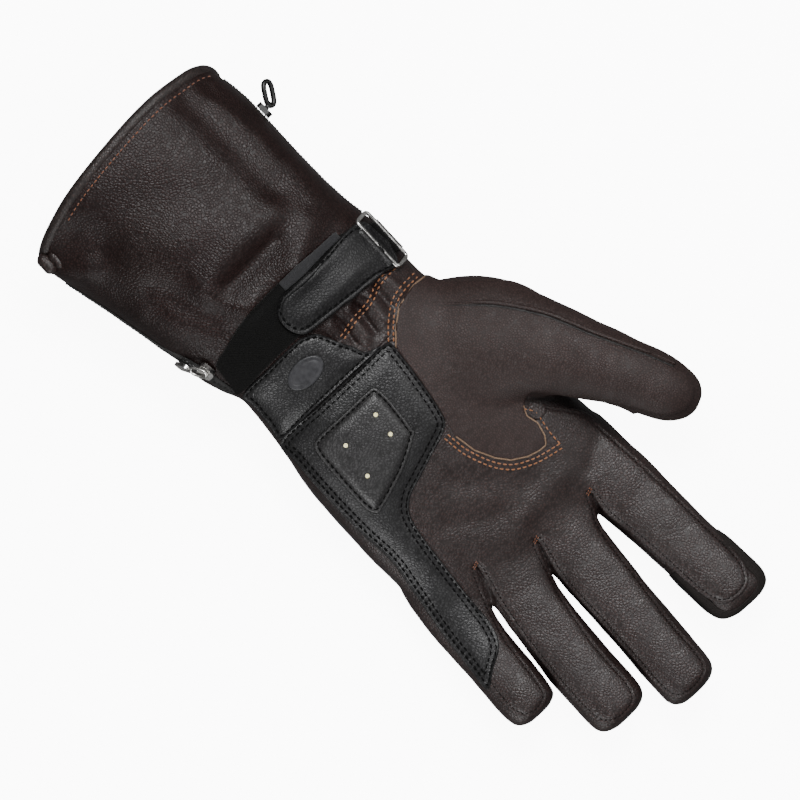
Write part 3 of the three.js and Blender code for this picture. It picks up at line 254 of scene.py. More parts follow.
# Sections of the sleeve, from the mouth to the roots of the fingers
SLEEVE = table("y left right low high square lean", [
    (-139.0, -50.0, 52.0, -1.4, 68.0, 2.3, 1.00),
    (-133.7, -51.2, 51.5, -1.4, 68.0, 2.3, 0.92),
    (-127.4, -52.2, 50.2, -1.4, 67.3, 2.3, 0.80),
    (-120.3, -52.6, 48.8, -1.4, 66.6, 2.3, 0.66),
    (-113.2, -52.6, 47.3, -1.4, 66.0, 2.3, 0.52),
    (-105.2, -52.6, 45.8, -1.4, 65.3, 2.3, 0.38),
    (-97.2, -52.6, 44.2, -1.4, 64.6, 2.3, 0.25),
    (-90.1, -52.8, 42.8, -0.7, 63.2, 2.3, 0.14),
    (-83.8, -53.0, 41.8, 0.0, 62.6, 2.3, 0.06),
    (-77.6, -53.3, 40.8, 0.7, 61.2, 2.3, 0.0),
    (-70.5, -54.2, 39.3, 1.4, 59.2, 2.3, 0.0),
    (-63.4, -55.5, 38.2, 2.0, 57.1, 2.3, 0.0),
    (-57.0, -56.0, 36.9, 4.0, 55.5, 2.4, 0.0),
    (-50.0, -56.0, 34.6, 5.0, 54.0, 2.4, 0.0),
    (-43.0, -56.0, 31.3, 5.0, 52.0, 2.4, 0.0),
    (-36.0, -56.0, 31.3, 4.0, 49.7, 2.4, 0.0),
    (-28.0, -56.8, 32.0, 2.2, 48.0, 2.5, 0.0),
    (-15.0, -58.8, 33.5, 0.0, 45.8, 2.6, 0.0),
    (0.0, -62.0, 36.0, -1.3, 44.0, 2.7, 0.0),
    (18.0, -64.8, 37.2, -1.3, 40.9, 2.8, 0.0),
    (38.0, -67.0, 37.2, -1.3, 36.5, 2.9, 0.0),
    (55.0, -68.6, 36.8, -1.3, 32.6, 3.0, 0.0),
    (68.0, -69.4, 38.5, -1.3, 29.0, 3.2, 0.0),
    (75.0, -69.4, 39.0, -0.4, 26.8, 3.2, 0.0),
    (79.0, -68.0, 37.5, 4.4, 22.0, 3.0, 0.0),
])
MOUTH_SLANT = 0.11
MOUTH_RAKE = 0.27
MOUTH_HEIGHT = 34
MOUTH_PLACE = -139
BEYOND_MOUTH = 12

FINGER_ROOT = 58
FINGER_DEPTH = 25
FINGER_CURL = 9
TIP_ROUND = 8
PALM_WIDTH = 100
FINGER_SQUARE = 2.5
ROOT_SQUARE = 1.7
THUMB_SQUARE = 2.2
FINGERS = table("name root tip bow reach width", [
    ("index", -0.550, -0.617, 0.00, 155.0, 26.5),
    ("middle", -0.275, -0.225, 0.00, 167.5, 25.3),
    ("ring", -0.003, 0.055, 0.06, 156.0, 26.3),
    ("little", 0.248, 0.298, 0.06, 131.0, 23.4),
])
FINGER_ROWS = table("along wide deep seat lift", [
    (0.00, 1.12, 1.08, 0.50, 0.00),
    (0.30, 1.12, 1.06, 0.49, 0.03),
    (0.46, 1.06, 1.04, 0.48, 0.13),
    (0.65, 1.01, 1.00, 0.46, 0.35),
    (0.84, 1.00, 0.97, 0.45, 0.64),
    (1.00, 0.99, 0.92, 0.44, 0.88),
    (1.50, 0.93, 0.84, 0.44, 0.95),
    (1.82, 0.76, 0.66, 0.44, 0.98),
    (2.00, 0.46, 0.40, 0.44, 1.00),
])
# The slits between the fingers: y, x and half of how far they open there, under 0 where joined
SLITS = [np.array(rows) for rows in (
    [(58, -48.0, -8), (80, -45.4, -2.8), (89, -42.8, -1.0), (90, -42.6, 0.3), (102, -42.5, 1.3),
     (160, -43.0, 3)],
    [(58, -20.0, -8), (79.5, -16.6, -2.8), (93, -12.5, -1.0), (94, -12.3, 0.15), (106, -11.2, 0.4),
     (122, -9.8, 0.9), (160, -8.0, 1.3)],
    [(58, 5.0, -8), (70.4, 8.0, -2.8), (86, 13.4, -1.0), (87, 13.7, 0.1), (97, 15.4, 0.3),
     (110, 17.0, 0.45), (128, 19.0, 0.6), (160, 20.5, 1)],
)]
# How far the fingers are moved apart for the remesh, and from where to where along the hand
SLIT_SPREAD = 2.6
SPREAD_BLEND = 1.1
SPREAD_FROM, SPREAD_TO = 62, 80
SPREAD_ROUNDS = 40
THUMB_ROWS = table("x y z wide deep", [
    (-36.0, -7.0, 22.4, 52.6, 39.0),
    (-47.0, 0.0, 24.0, 54.5, 42.1),
    (-58.0, 8.5, 26.4, 52.4, 42.1),
    (-66.5, 18.0, 30.4, 43.7, 38.0),
    (-74.5, 29.0, 34.4, 36.2, 32.8),
    (-81.2, 40.0, 37.6, 31.3, 29.6),
    (-86.8, 51.0, 40.0, 28.6, 27.6),
    (-92.0, 62.0, 40.8, 27.0, 26.0),
    (-95.5, 70.0, 40.8, 25.1, 24.4),
    (-98.5, 76.5, 40.4, 20.5, 19.8),
    (-100.3, 80.5, 40.0, 14.0, 13.0),
    (-101.2, 82.5, 40.0, 6.5, 5.7),
])

# Folds along short lines on the palm side: a height over 0 is a ridge, under 0 a valley
FOLD_GAIN = 1.3
FOLDS = table("x0 y0 x1 y1 spread height", [
    (-36, -75, -20, -67, 5.7, 1.9),
    (-20, -67, 5, -68, 5.7, 2.0),
    (5, -68, 12, -80, 5.4, 1.3),
    (10, -87, -28, -89, 6.6, 1.7),
    (-22, -79, 4, -78, 3.6, -1.7),
    (-36, -95, -35, -143, 6.6, -1.7),
    (-46, -80, -45, -132, 5.7, 1.1),
    (40, -121, 50, -130, 4.8, 1.9),
    (30, -125, 36, -135, 7.2, -1.9),
    (24, -70, 36, -92, 6.0, 1.1),
    (16, -74, 26, -98, 4.5, -1.0),
    (-48, -120, -44, -143, 2.6, -0.9),
    (-10, -96, 20, -108, 8.0, 0.7),
    (-20, -108, 6, -126, 9.0, -0.6),
    (-28, -38.5, -26.5, -26, 1.7, -1.8),
    (-23.5, -39.5, -22, -27, 1.9, 1.4),
    (-19, -39.5, -17.5, -28, 1.5, -1.7),
    (-33.5, -38.5, -32, -27, 2.0, 1.4),
    (-38.5, -38, -38, -29, 1.7, -1.6),
    (-44, -38, -44.5, -31, 2.0, 1.2),
    (-14, -40, -13, -33, 1.6, 0.9),
    (-67, 91, -52, 95, 3.2, -0.35),
    (-66, 108, -54, 111, 4.5, 0.2),
    (-36, 95, -18, 97, 3.4, -0.2),
    (-9, 92, 9, 88, 3.4, -0.2),
    (-76, 33, -67, 40, 5.5, -1.0),
    (-88, 44, -78, 55, 4.0, 0.6),
    (-14, 62, 4, 50, 5.0, -0.7),
    (-40, 66, -18, 68, 5.0, 0.7),
    (-30, 60, -10, 40, 6.0, -0.6),
    (-62, 66, -52, 72, 3.2, -0.6),
    (-45.2, 80, -42.6, 88, 1.3, -1.3),
    (-16.6, 79.5, -12.6, 91, 1.3, -1.3),
    (8.0, 70.5, 13.0, 84, 1.3, -1.3),
])


def segment_distance(points, a, b):
    """Distance in plan from points to the line from a to b"""
    a, b = np.array(a, float), np.array(b, float)
    along = b - a
    t = np.clip((points - a) @ along / (along @ along), 0, 1)
    return np.linalg.norm(points - (a + t[:, None] * along), axis=1)


def fold_height(points):
    height = np.zeros(len(points))
    for row in FOLDS:
        away = segment_distance(points, (row["x0"], row["y0"]), (row["x1"], row["y1"]))
        height += FOLD_GAIN * row["height"] * np.exp(-(away / row["spread"]) ** 2)
    return height


def wrinkles(points, size, seed):
    return np.array([noise.noise(Vector(p) / size + Vector((seed, 0, 0))) for p in points])


# The whole glove's skin
SIDES = 72


def angles():
    return np.linspace(0, 2 * math.pi, SIDES, endpoint=False)


def sleeve_rings():
    rows = smoothed([[r[k] for k in ("y", "left", "right", "low", "high", "square", "lean")]
                     for r in SLEEVE], 4)
    beyond = rows[0].copy()
    beyond[0] -= BEYOND_MOUTH
    turn = angles()
    rings = []
    for y, left, right, low, high, square, lean in np.vstack([beyond, rows]):
        x = (left + right) / 2 + (right - left) / 2 * signed_power(np.cos(turn), 2 / square)
        z = (low + high) / 2 + (high - low) / 2 * signed_power(np.sin(turn), 2 / square)
        at = y + lean * (MOUTH_SLANT * x - MOUTH_RAKE * (z - MOUTH_HEIGHT))
        rings.append(np.stack([x, at, z], 1))
    return np.array(rings)


def slit_at(k, y, column):
    return np.interp(y, SLITS[k][:, 0], SLITS[k][:, column])


def finger_shift(x, y):
    """How far a place between spread fingers was moved across the hand"""
    share = step_between(y, SPREAD_FROM, SPREAD_TO)
    reach = SLIT_SPREAD + SPREAD_BLEND
    total = np.full(len(x), -SLIT_SPREAD * len(SLITS) / 2)
    for k in range(len(SLITS)):
        middle = slit_at(k, y, 1) + share * (k - 1) * SLIT_SPREAD
        total += SLIT_SPREAD * np.clip((x - middle) / reach + 0.5, 0, 1)
    return share * total


def spread_fingers(points):
    """Fingers moved apart, so that the remesh keeps the slits between them"""
    x = points[:, 0]
    for _ in range(SPREAD_ROUNDS):
        x = points[:, 0] + finger_shift(x, points[:, 1])
    return np.column_stack([x, points[:, 1:]])


def finger_rings(finger):
    straight = finger["reach"] - TIP_ROUND - FINGER_ROOT
    rows = smoothed([[r[k] for k in ("along", "wide", "deep", "seat", "lift")] for r in FINGER_ROWS], 5)
    turn = angles()
    rings = []
    for along, wide, deep, seat, lift in rows:
        y = FINGER_ROOT + min(1, along) * straight + max(0, along - 1) * TIP_ROUND
        share = min(1, (y - FINGER_ROOT) / (finger["reach"] - FINGER_ROOT))
        middle = (finger["root"] + (finger["tip"] - finger["root"]) * share) * PALM_WIDTH
        middle += finger["bow"] * finger["width"] * math.sin(share * math.pi)
        near_root = step_between(along, -0.1, 0.22) * (1 - step_between(along, 0.35, 0.9))
        square = FINGER_SQUARE + ROOT_SQUARE * near_root
        x = middle + finger["width"] * wide / 2 * signed_power(np.cos(turn), 2 / square)
        place = FINGERS.index(finger)
        if place > 0:
            x = np.maximum(x, slit_at(place - 1, y, 1) + slit_at(place - 1, y, 2))
        if place < len(SLITS):
            x = np.minimum(x, slit_at(place, y, 1) - slit_at(place, y, 2))
        z = seat * FINGER_DEPTH + lift * FINGER_CURL + FINGER_DEPTH * deep / 2 * signed_power(
            np.sin(turn), 2 / square)
        rings.append(np.stack([x, np.full(SIDES, y), z], 1))
    return np.array(rings)


def thumb_rings():
    rows = smoothed([[r[k] for k in ("x", "y", "z", "wide", "deep")] for r in THUMB_ROWS], 5)
    turn = angles()
    rings = []
    for k, (x, y, z, wide, deep) in enumerate(rows):
        ahead, behind = rows[min(k + 1, len(rows) - 1)], rows[max(k - 1, 0)]
        along = Vector((ahead[0] - behind[0], ahead[1] - behind[1])).normalized()
        reach = wide / 2 * signed_power(np.cos(turn), 2 / THUMB_SQUARE)
        rings.append(np.stack([
            x + along.y * reach, y - along.x * reach,
            z + deep / 2 * signed_power(np.sin(turn), 2 / THUMB_SQUARE),
        ], 1))
    return np.array(rings)


def closed_loft(bm, rings):
    verts = [[bm.verts.new(p * MM) for p in ring] for ring in rings]
    for lower, upper in zip(verts, verts[1:]):
        for i in range(SIDES):
            j = (i + 1) % SIDES
            bm.faces.new((lower[i], lower[j], upper[j], upper[i]))
    bm.faces.new(list(reversed(verts[0])))
    bm.faces.new(verts[-1])


# Remesh of the skin, and how often its points are smoothed and relaxed after it
VOXEL = 1.2
SMOOTH_FACTOR = 0.5
SMOOTH_ROUNDS = 9
RELAX_SHARE = 0.6
RELAX_ROUNDS = 70
# The thumb lies left of this x and below this y, and isn't moved with the fingers
THUMB_RIGHT, THUMB_END = -80, 84
# Two lines under the ball of the thumb, with how wide the leather is relaxed along them
BALL_LINES = [((-57, -30), (-44, -6), 15), ((-44, -6), (-43, 14), 12)]
# Heights, sizes and seeds of the leather's fine waves
WAVES = [(0.28, 13.0, 3.0), (0.10, 5.0, 9.0)]
LOWEST = 0.02


def relax(points, edges, weight, times):
    """Points drawn towards the middle of their neighbours, as far as their weight says"""
    a, b = edges.T
    total = len(points)
    count = np.bincount(edges.ravel(), minlength=total)[:, None]
    for _ in range(times):
        around = np.stack([np.bincount(a, points[b, i], total) + np.bincount(b, points[a, i], total)
                           for i in range(3)], 1)
        points = points + RELAX_SHARE * weight[:, None] * (around / count - points)
    return points


def read(things, name, size, kind=float):
    values = np.empty(len(things) * size, kind)
    things.foreach_get(name, values)
    return values.reshape(-1, size)


def remeshed_skin():
    """The sleeve, the fingers and the thumb joined into one mesh by a remesh"""
    bm = bmesh.new()
    for rings in [sleeve_rings(), *[finger_rings(f) for f in FINGERS]]:
        closed_loft(bm, [spread_fingers(ring) for ring in rings])
    closed_loft(bm, thumb_rings())
    bmesh.ops.recalc_face_normals(bm, faces=bm.faces)
    mesh = bpy.data.meshes.new("skin")
    bm.to_mesh(mesh)
    bm.free()
    skin = bpy.data.objects.new("skin", mesh)
    bpy.context.scene.collection.objects.link(skin)
    remesh = skin.modifiers.new("remesh", "REMESH")
    remesh.mode = "VOXEL"
    remesh.voxel_size = VOXEL * MM
    smooth = skin.modifiers.new("smooth", "SMOOTH")
    smooth.factor = SMOOTH_FACTOR
    smooth.iterations = SMOOTH_ROUNDS
    done = bpy.data.meshes.new_from_object(skin.evaluated_get(bpy.context.evaluated_depsgraph_get()))
    bpy.data.objects.remove(skin)
    return done


def move_points(mesh, points):
    mesh.vertices.foreach_set("co", (points * MM).ravel())
    mesh.update()
    return read(mesh.vertex_normals, "vector", 3)


def relax_weight(points, normals):
    """How far the roots of the fingers and the ball of the thumb are relaxed, on the palm side"""
    upward = step_between(normals[:, 2], 0.05, 0.45) * step_between(points[:, 2], 16, 22)
    roots = step_between(points[:, 1], 52, 62) * (1 - step_between(points[:, 1], 94, 108))
    ball = [np.exp(-(segment_distance(points[:, :2], start, end) / wide) ** 2)
            for start, end, wide in BALL_LINES]
    return upward * np.maximum(roots, np.maximum(*ball))


def whole_skin():
    """One skin over the whole glove, relaxed, folded and cut off at the mouth, in metres"""
    mesh = remeshed_skin()
    points = read(mesh.vertices, "co", 3) / MM
    hand = (points[:, 0] > THUMB_RIGHT) | (points[:, 1] > THUMB_END)
    points[:, 0] -= np.where(hand, finger_shift(points[:, 0], points[:, 1]), 0)
    normals = move_points(mesh, points)
    points = relax(points, read(mesh.edges, "vertices", 2, int), relax_weight(points, normals),
                   RELAX_ROUNDS)
    normals = move_points(mesh, points)
    rise = fold_height(points[:, :2]) * step_between(normals[:, 2], 0.0, 0.55)
    rise += sum(height * wrinkles(points, size, seed) for height, size, seed in WAVES)
    points += normals * rise[:, None]
    points[:, 2] = np.maximum(points[:, 2], LOWEST)
    move_points(mesh, points)
    bm = bmesh.new()
    bm.from_mesh(mesh)
    bmesh.ops.bisect_plane(
        bm, geom=[*bm.verts, *bm.edges, *bm.faces],
        plane_co=Vector((0, MOUTH_PLACE, MOUTH_HEIGHT)) * MM,
        plane_no=Vector((MOUTH_SLANT, -1, -MOUTH_RAKE)), clear_outer=True)
    bmesh.ops.remove_doubles(bm, verts=bm.verts, dist=0.01 * MM)
    bm.normal_update()
    return bm


def arrays(bm):
    bm.verts.ensure_lookup_table()
    bm.faces.ensure_lookup_table()
    points = np.array([v.co for v in bm.verts]) / MM
    normals = np.array([v.normal for v in bm.verts])
    faces = [[v.index for v in f.verts] for f in bm.faces]
    return points, normals, faces


skin_bm = whole_skin()
skin_bm.verts.index_update()
SKIN, SKIN_NORMALS, SKIN_FACES = arrays(skin_bm)

# Rays start this high above the glove; where one misses, the nearest place to this height is taken
ABOVE = 200
DOWN = (0, 0, -1)
NEAR_HEIGHT = 30


class Surface:
    """Something that pieces lie on: rays from above or from a side find it"""

    def __init__(self, points, normals, faces):
        self.points, self.normals, self.faces = points, normals, faces
        self.tree = BVHTree.FromPolygons([Vector(p) for p in points], faces)

    def normal_near(self, place, face):
        corners = self.faces[face]
        away = np.linalg.norm(self.points[corners] - place, axis=1) + 0.05
        mixed = (self.normals[corners] / away[:, None] ** 2).sum(0)
        return mixed / np.linalg.norm(mixed)

    def cast(self, start, direction):
        place, _, face, _ = self.tree.ray_cast(Vector(start), Vector(direction))
        if place is None:
            return None
        place = np.array(place)
        return place, self.normal_near(place, face)

    def nearest(self, start):
        place, _, face, _ = self.tree.find_nearest(Vector(start))
        place = np.array(place)
        return place, self.normal_near(place, face)

    def under(self, x, y):
        """The place met by a ray that comes down over x and y"""
        return self.cast((x, y, ABOVE), DOWN)


skin = Surface(SKIN, SKIN_NORMALS, SKIN_FACES)


# Making pieces
def add_piece(name, points, faces, material, nodes=(), normals=None):
    mesh = bpy.data.meshes.new(name)
    mesh.from_pydata([tuple(p) for p in np.asarray(points) * MM], [], faces)
    mesh.materials.append(material)
    mesh.shade_smooth()
    if normals is not None:
        mesh.normals_split_custom_set_from_vertices([tuple(n) for n in normals])
    mesh.update()
    piece = bpy.data.objects.new(name, mesh)
    bpy.context.scene.collection.objects.link(piece)
    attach(piece, "root")
    if nodes:
        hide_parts(*nodes)
    return piece


def thick_faces(faces, count):
    """A sheet's faces, those of its copy, whose points come count later, and the rim between"""
    sides = dict.fromkeys((a, b) for face in faces for a, b in zip(face, face[1:] + face[:1]))
    under = [[i + count for i in reversed(face)] for face in faces]
    rim = [(b, a, a + count, b + count) for a, b in sides if (b, a) not in sides]
    return faces + under + rim


def ring_faces(count, sides, start=0, closed=False):
    """Faces between rings of points, and over both ends unless the rings close up"""
    faces = []
    for k in range(count if closed else count - 1):
        low, high = start + k * sides, start + (k + 1) % count * sides
        for i in range(sides):
            j = (i + 1) % sides
            faces.append((low + i, low + j, high + j, high + i))
    if not closed:
        faces.append([start + i for i in range(sides - 1, -1, -1)])
        faces.append([start + (count - 1) * sides + i for i in range(sides)])
    return faces


def shell(points, normals, faces, wall):
    """A skin and its inside, closed along every edge of it"""
    used = sorted({i for face in faces for i in face})
    new = {old: k for k, old in enumerate(used)}
    outer, out_normals = points[used], normals[used]
    top = [[new[i] for i in face] for face in faces]
    return (np.vstack([outer, outer - out_normals * wall]), thick_faces(top, len(used)),
            np.vstack([out_normals, -out_normals]))


def inside(points, outline):
    """Which points lie inside an outline in plan"""
    x, y = points[:, 0], points[:, 1]
    result = np.zeros(len(points), bool)
    corners = np.asarray(outline, float)
    for (ax, ay), (bx, by) in zip(corners, np.roll(corners, -1, axis=0)):
        crosses = (ay > y) != (by > y)
        if ay != by:
            result ^= crosses & (x < (bx - ax) * (y - ay) / (by - ay) + ax)
    return result


def evenly(points, spacing, closed):
    points = np.asarray(points, float)
    path = np.vstack([points, points[:1]]) if closed else points
    lengths = np.r_[0, np.cumsum(np.linalg.norm(np.diff(path, axis=0), axis=1))]
    count = max(3, int(round(lengths[-1] / spacing)))
    where = np.linspace(0, lengths[-1], count, endpoint=not closed)
    return np.stack([np.interp(where, lengths, path[:, i]) for i in range(path.shape[1])], 1)


def rounded(points, closed=True, steps=6):
    """A smooth curve through points"""
    points = np.asarray(points, float)
    if not closed:
        return smoothed(points, steps)
    count = len(points)
    return smoothed(np.vstack([points, points, points]), steps)[count * steps:2 * count * steps]


def sideways(path, closed):
    """Unit vectors to the left of a path in plan"""
    if closed:
        along = np.roll(path, -1, axis=0) - np.roll(path, 1, axis=0)
    else:
        along = np.gradient(path, axis=0)
    along = along[:, :2] / np.linalg.norm(along[:, :2], axis=1)[:, None]
    return np.stack([-along[:, 1], along[:, 0]], 1)


def outline_distance(points, outline):
    corners = np.asarray(outline, float)
    best = np.full(len(points), 1e9)
    for a, b in zip(corners, np.roll(corners, -1, axis=0)):
        if np.abs(a - b).sum() > 1e-9:
            best = np.minimum(best, segment_distance(points, a, b))
    return best


def inset(outline, distance):
    """An outline moved inwards, without the points that cross another side"""
    edge = evenly(outline, 0.9, True)
    area = np.sum(edge[:, 0] * np.roll(edge[:, 1], -1) - np.roll(edge[:, 0], -1) * edge[:, 1])
    moved = edge + sideways(edge, True) * distance * np.sign(area)
    keep = inside(moved, outline) & (outline_distance(moved, outline) > 0.93 * distance)
    return moved[keep]


# A laid piece: how far in its edge is rounded, the angle in degrees over which it is sharp, how
# deep it sinks, and the spacing of its outline, its rings beside a row of stitches and its grid
EDGE_ROUND = 0.9
EDGE_SHARP = 55
SINK = 0.35
FIRST_RING = 0.35
OUTLINE_STEP = 0.8
ROW_SIDE = 0.5
GROOVE_WIDTH = 0.45
GRID_ROW = 0.87


def drape(name, outline, height, material, nodes=(), on=skin, lift=0.0, spacing=1.15,
          rows=(), groove=0.5, shape=None, smooth=True):
    """A piece of leather or cloth laid on a surface, with a rounded edge and sewn grooves.
    rows: how far each row of stitches lies inside the edge. shape: added height by place."""
    edge = evenly(rounded(outline) if smooth else outline, OUTLINE_STEP, True)
    depths = {FIRST_RING, EDGE_ROUND, *rows, *[row + ROW_SIDE for row in rows]}
    rings = [inset(edge, depth) for depth in sorted(depths)]
    rings = [ring for ring in rings if len(ring)]
    low, high = edge.min(0), edge.max(0)
    across = np.arange(low[0], high[0], spacing)
    up = np.arange(low[1], high[1], spacing * GRID_ROW)
    grid = np.array([(x + (spacing / 2 if k % 2 else 0), y) for k, y in enumerate(up) for x in across])
    grid = grid[inside(grid, edge)]
    clear = max(depths) + spacing / 2
    grid = grid[outline_distance(grid, edge) > clear]
    plan = np.vstack([edge, *rings, grid])
    verts, _, tris, _, _, _ = delaunay_2d_cdt(
        [Vector(p) for p in plan], [], [list(range(len(edge)))], 1, 1e-5)
    plan = np.array([tuple(v) for v in verts])
    inner = outline_distance(plan, edge)
    share = np.clip(inner / EDGE_ROUND, 0, 1)
    rise = height * (0.5 + 0.5 * np.sqrt(1 - (1 - share) ** 2))
    for row in rows:
        rise -= groove * np.exp(-((inner - row) / GROOVE_WIDTH) ** 2)
    if shape is not None:
        rise += shape(plan, inner)
    bases, ups = [], []
    for x, y in plan:
        hit = on.under(x, y) or on.nearest((x, y, NEAR_HEIGHT))
        bases.append(hit[0])
        ups.append(hit[1])
    bases, ups = np.array(bases), np.array(ups)
    top = bases + ups * (lift + rise)[:, None]
    bottom = bases + ups * (lift - SINK)
    faces = [list(t) for t in tris]
    all_faces = thick_faces(faces, len(plan))
    piece = add_piece(name, np.vstack([top, bottom]), all_faces, material, nodes)
    piece.data.set_sharp_from_angle(angle=math.radians(EDGE_SHARP))
    return piece, Surface(top, vertex_normals(top, faces), faces), edge


def vertex_normals(points, faces):
    normals = np.zeros_like(points)
    corners = np.array([face[:3] for face in faces])
    a, b, c = points[corners[:, 0]], points[corners[:, 1]], points[corners[:, 2]]
    flat = np.cross(b - a, c - a)
    for i in range(3):
        np.add.at(normals, corners[:, i], flat)
    return normals / (np.linalg.norm(normals, axis=1)[:, None] + 1e-12)


def seat_on(surfaces, x, y):
    """The highest of several surfaces over a place, and its way up"""
    hits = [surface.under(x, y) for surface in surfaces]
    hits = [hit for hit in hits if hit is not None]
    return max(hits, key=lambda hit: hit[0][2]) if hits else skin.nearest((x, y, NEAR_HEIGHT))


def frames_along(path, ups):
    along = np.gradient(path, axis=0)
    along /= np.linalg.norm(along, axis=1)[:, None] + 1e-12
    across = np.cross(along, ups)
    across /= np.linalg.norm(across, axis=1)[:, None] + 1e-12
    return along, across, np.cross(across, along)


# Rings of a stitch: their place along it, their size, and their rise in thicknesses
STITCH_RINGS = [(-0.5, 0.25, -0.9), (-0.36, 0.9, 0.1), (0.0, 1.0, 0.45), (0.36, 0.9, 0.1),
                (0.5, 0.25, -0.9)]
STITCH_SIDES = 6
STITCH_RISE = 0.35


def stitches(name, lines, surfaces, material, pitch=2.7, long=2.0, thick=0.30):
    """Threads along lines in plan, each a short bent capsule sewn down at its ends"""
    points, faces = [], []
    turn = np.linspace(0, 2 * math.pi, STITCH_SIDES, endpoint=False)
    for line in lines:
        path = evenly(line, pitch, False)
        hits = [seat_on(surfaces, x, y) for x, y in path[:, :2]]
        places, ups = np.array([h[0] for h in hits]), np.array([h[1] for h in hits])
        along, across, up = frames_along(places, ups)
        for p, a, c, u in zip(places, along, across, up):
            faces += ring_faces(len(STITCH_RINGS), STITCH_SIDES, len(points))
            for where, size, rise in STITCH_RINGS:
                for angle in turn:
                    points.append(p + a * where * long + u * thick * (STITCH_RISE + rise)
                                  + thick * size * (c * math.cos(angle) + u * math.sin(angle)))
    return add_piece(name, points, faces, material)


def tube(name, path, ups, wide, tall, material, nodes=(), sides=14, closed=False, taper=None):
    """A bar of oval section along a path, wide across it and tall along its way up"""
    path, ups = np.asarray(path, float), np.asarray(ups, float)
    if closed:
        along = np.roll(path, -1, axis=0) - np.roll(path, 1, axis=0)
        along /= np.linalg.norm(along, axis=1)[:, None]
        across = np.cross(along, ups)
        across /= np.linalg.norm(across, axis=1)[:, None]
        up = np.cross(across, along)
    else:
        along, across, up = frames_along(path, ups)
    turn = np.linspace(0, 2 * math.pi, sides, endpoint=False)
    size = np.ones(len(path)) if taper is None else taper
    rings = (path[:, None, :]
             + across[:, None, :] * (wide * np.cos(turn))[None, :, None] * size[:, None, None]
             + up[:, None, :] * (tall * np.sin(turn))[None, :, None] * size[:, None, None])
    faces = ring_faces(len(path), sides, closed=closed)
    return add_piece(name, rings.reshape(-1, 3), faces, material, nodes)


def offset_line(line, distance):
    line = np.asarray(line, float)
    return line + sideways(line, False) * distance


# Leather of the body: how thick it is, and where each piece of the skin starts and ends
WALL = 2.6
THUMB_LOWEST = 25
PALM_LEFT = -71
STRIP_TILT = 0.55
STRIP_START = 76
GAPS = [("index_middle", -62, -25), ("middle_ring", -25, 3), ("ring_little", 3, 30)]
THUMB_PLAN = [(-115, 95), (-84, 86), (-78, 68), (-68, 52), (-55, 33), (-46, 10), (-42, -29), (-58, -36),
              (-78, -24), (-100, 20), (-116, 66)]
WRIST_LINE = [(-90, -40.5), (-50, -39.5), (-33, -35.5), (-15, -32.5), (10, -36), (30, -40.5), (90, -42)]

# The seam between the cuff's two panels, as a share of its half height over its middle
CUFF_TOP = -50
CUFF_LENGTH = 89
THUMB_SEAM = 0.05
LITTLE_SEAM = [(-0.3, 0.45), (-0.08, 0.42), (0.07, 0.60), (0.17, 0.50), (0.34, 0.25), (0.9, 0.05),
               (1.4, 0.05)]


def cuff_seam_height(y, x):
    if x < 0:
        return THUMB_SEAM
    share = (CUFF_TOP - y) / CUFF_LENGTH
    return float(np.interp(share, *zip(*LITTLE_SEAM)))


def section_at(y):
    ys = [r["y"] for r in SLEEVE]
    return {k: float(np.interp(y, ys, [r[k] for r in SLEEVE])) for k in ("left", "right", "low", "high")}


def cuff_middle(y):
    """The height of the sleeve's middle, and half of its own height"""
    section = section_at(y)
    return (section["low"] + section["high"]) / 2, (section["high"] - section["low"]) / 2


centres = np.array([SKIN[face].mean(0) for face in SKIN_FACES])
tilts = np.array([SKIN_NORMALS[face].mean(0) for face in SKIN_FACES])
in_cuff = centres[:, 1] < np.interp(centres[:, 0], *zip(*WRIST_LINE))
off_back = (centres[:, 2] > THUMB_LOWEST) | (centres[:, 0] < PALM_LEFT)
in_thumb = inside(centres[:, :2], THUMB_PLAN) & ~in_cuff & off_back
seam_heights = []
for x, y, z in centres:
    middle, reach = cuff_middle(y)
    seam_heights.append(middle + reach * cuff_seam_height(y, x))
above_seam = centres[:, 2] > np.array(seam_heights)
beside = (np.abs(tilts[:, 0]) > STRIP_TILT) & (centres[:, 1] > STRIP_START) & ~in_thumb

groups = {
    "cuff_front_leather": (in_cuff & above_seam, ["cuff_front"], CUFF_PAINTED_SHADE, "brown_leather"),
    "cuff_back_leather": (in_cuff & ~above_seam, ["cuff_back"], CUFF_PAINTED_SHADE, "brown_leather"),
    "thumb_back_leather": (in_thumb, ["thumb_back"], THUMB, "thumb_leather"),
}
taken = in_cuff | in_thumb
for name, start, end in GAPS:
    chosen = beside & ~taken & (centres[:, 0] > start) & (centres[:, 0] < end)
    groups["side_strip_" + name] = (chosen, ["fourchette_" + name], BROWN, "brown_leather")
    taken = taken | chosen
groups["back_leather"] = (~taken, ["back_panel"], BROWN, "brown_leather")
for name, (chosen, nodes, material, slot) in groups.items():
    faces = [SKIN_FACES[i] for i in np.flatnonzero(chosen)]
    points, all_faces, normals = shell(SKIN, SKIN_NORMALS, faces, WALL)
    add_piece(name, points, all_faces, material, nodes, normals)


# How far inside each edge the rows of stitches lie
PALM_ROW = 1.5
PATCH_ROWS = (1.1, 3.0)
HEEL_ROW = 1.3
PAD_ROW = 1.5
TAB_ROW = 1.6

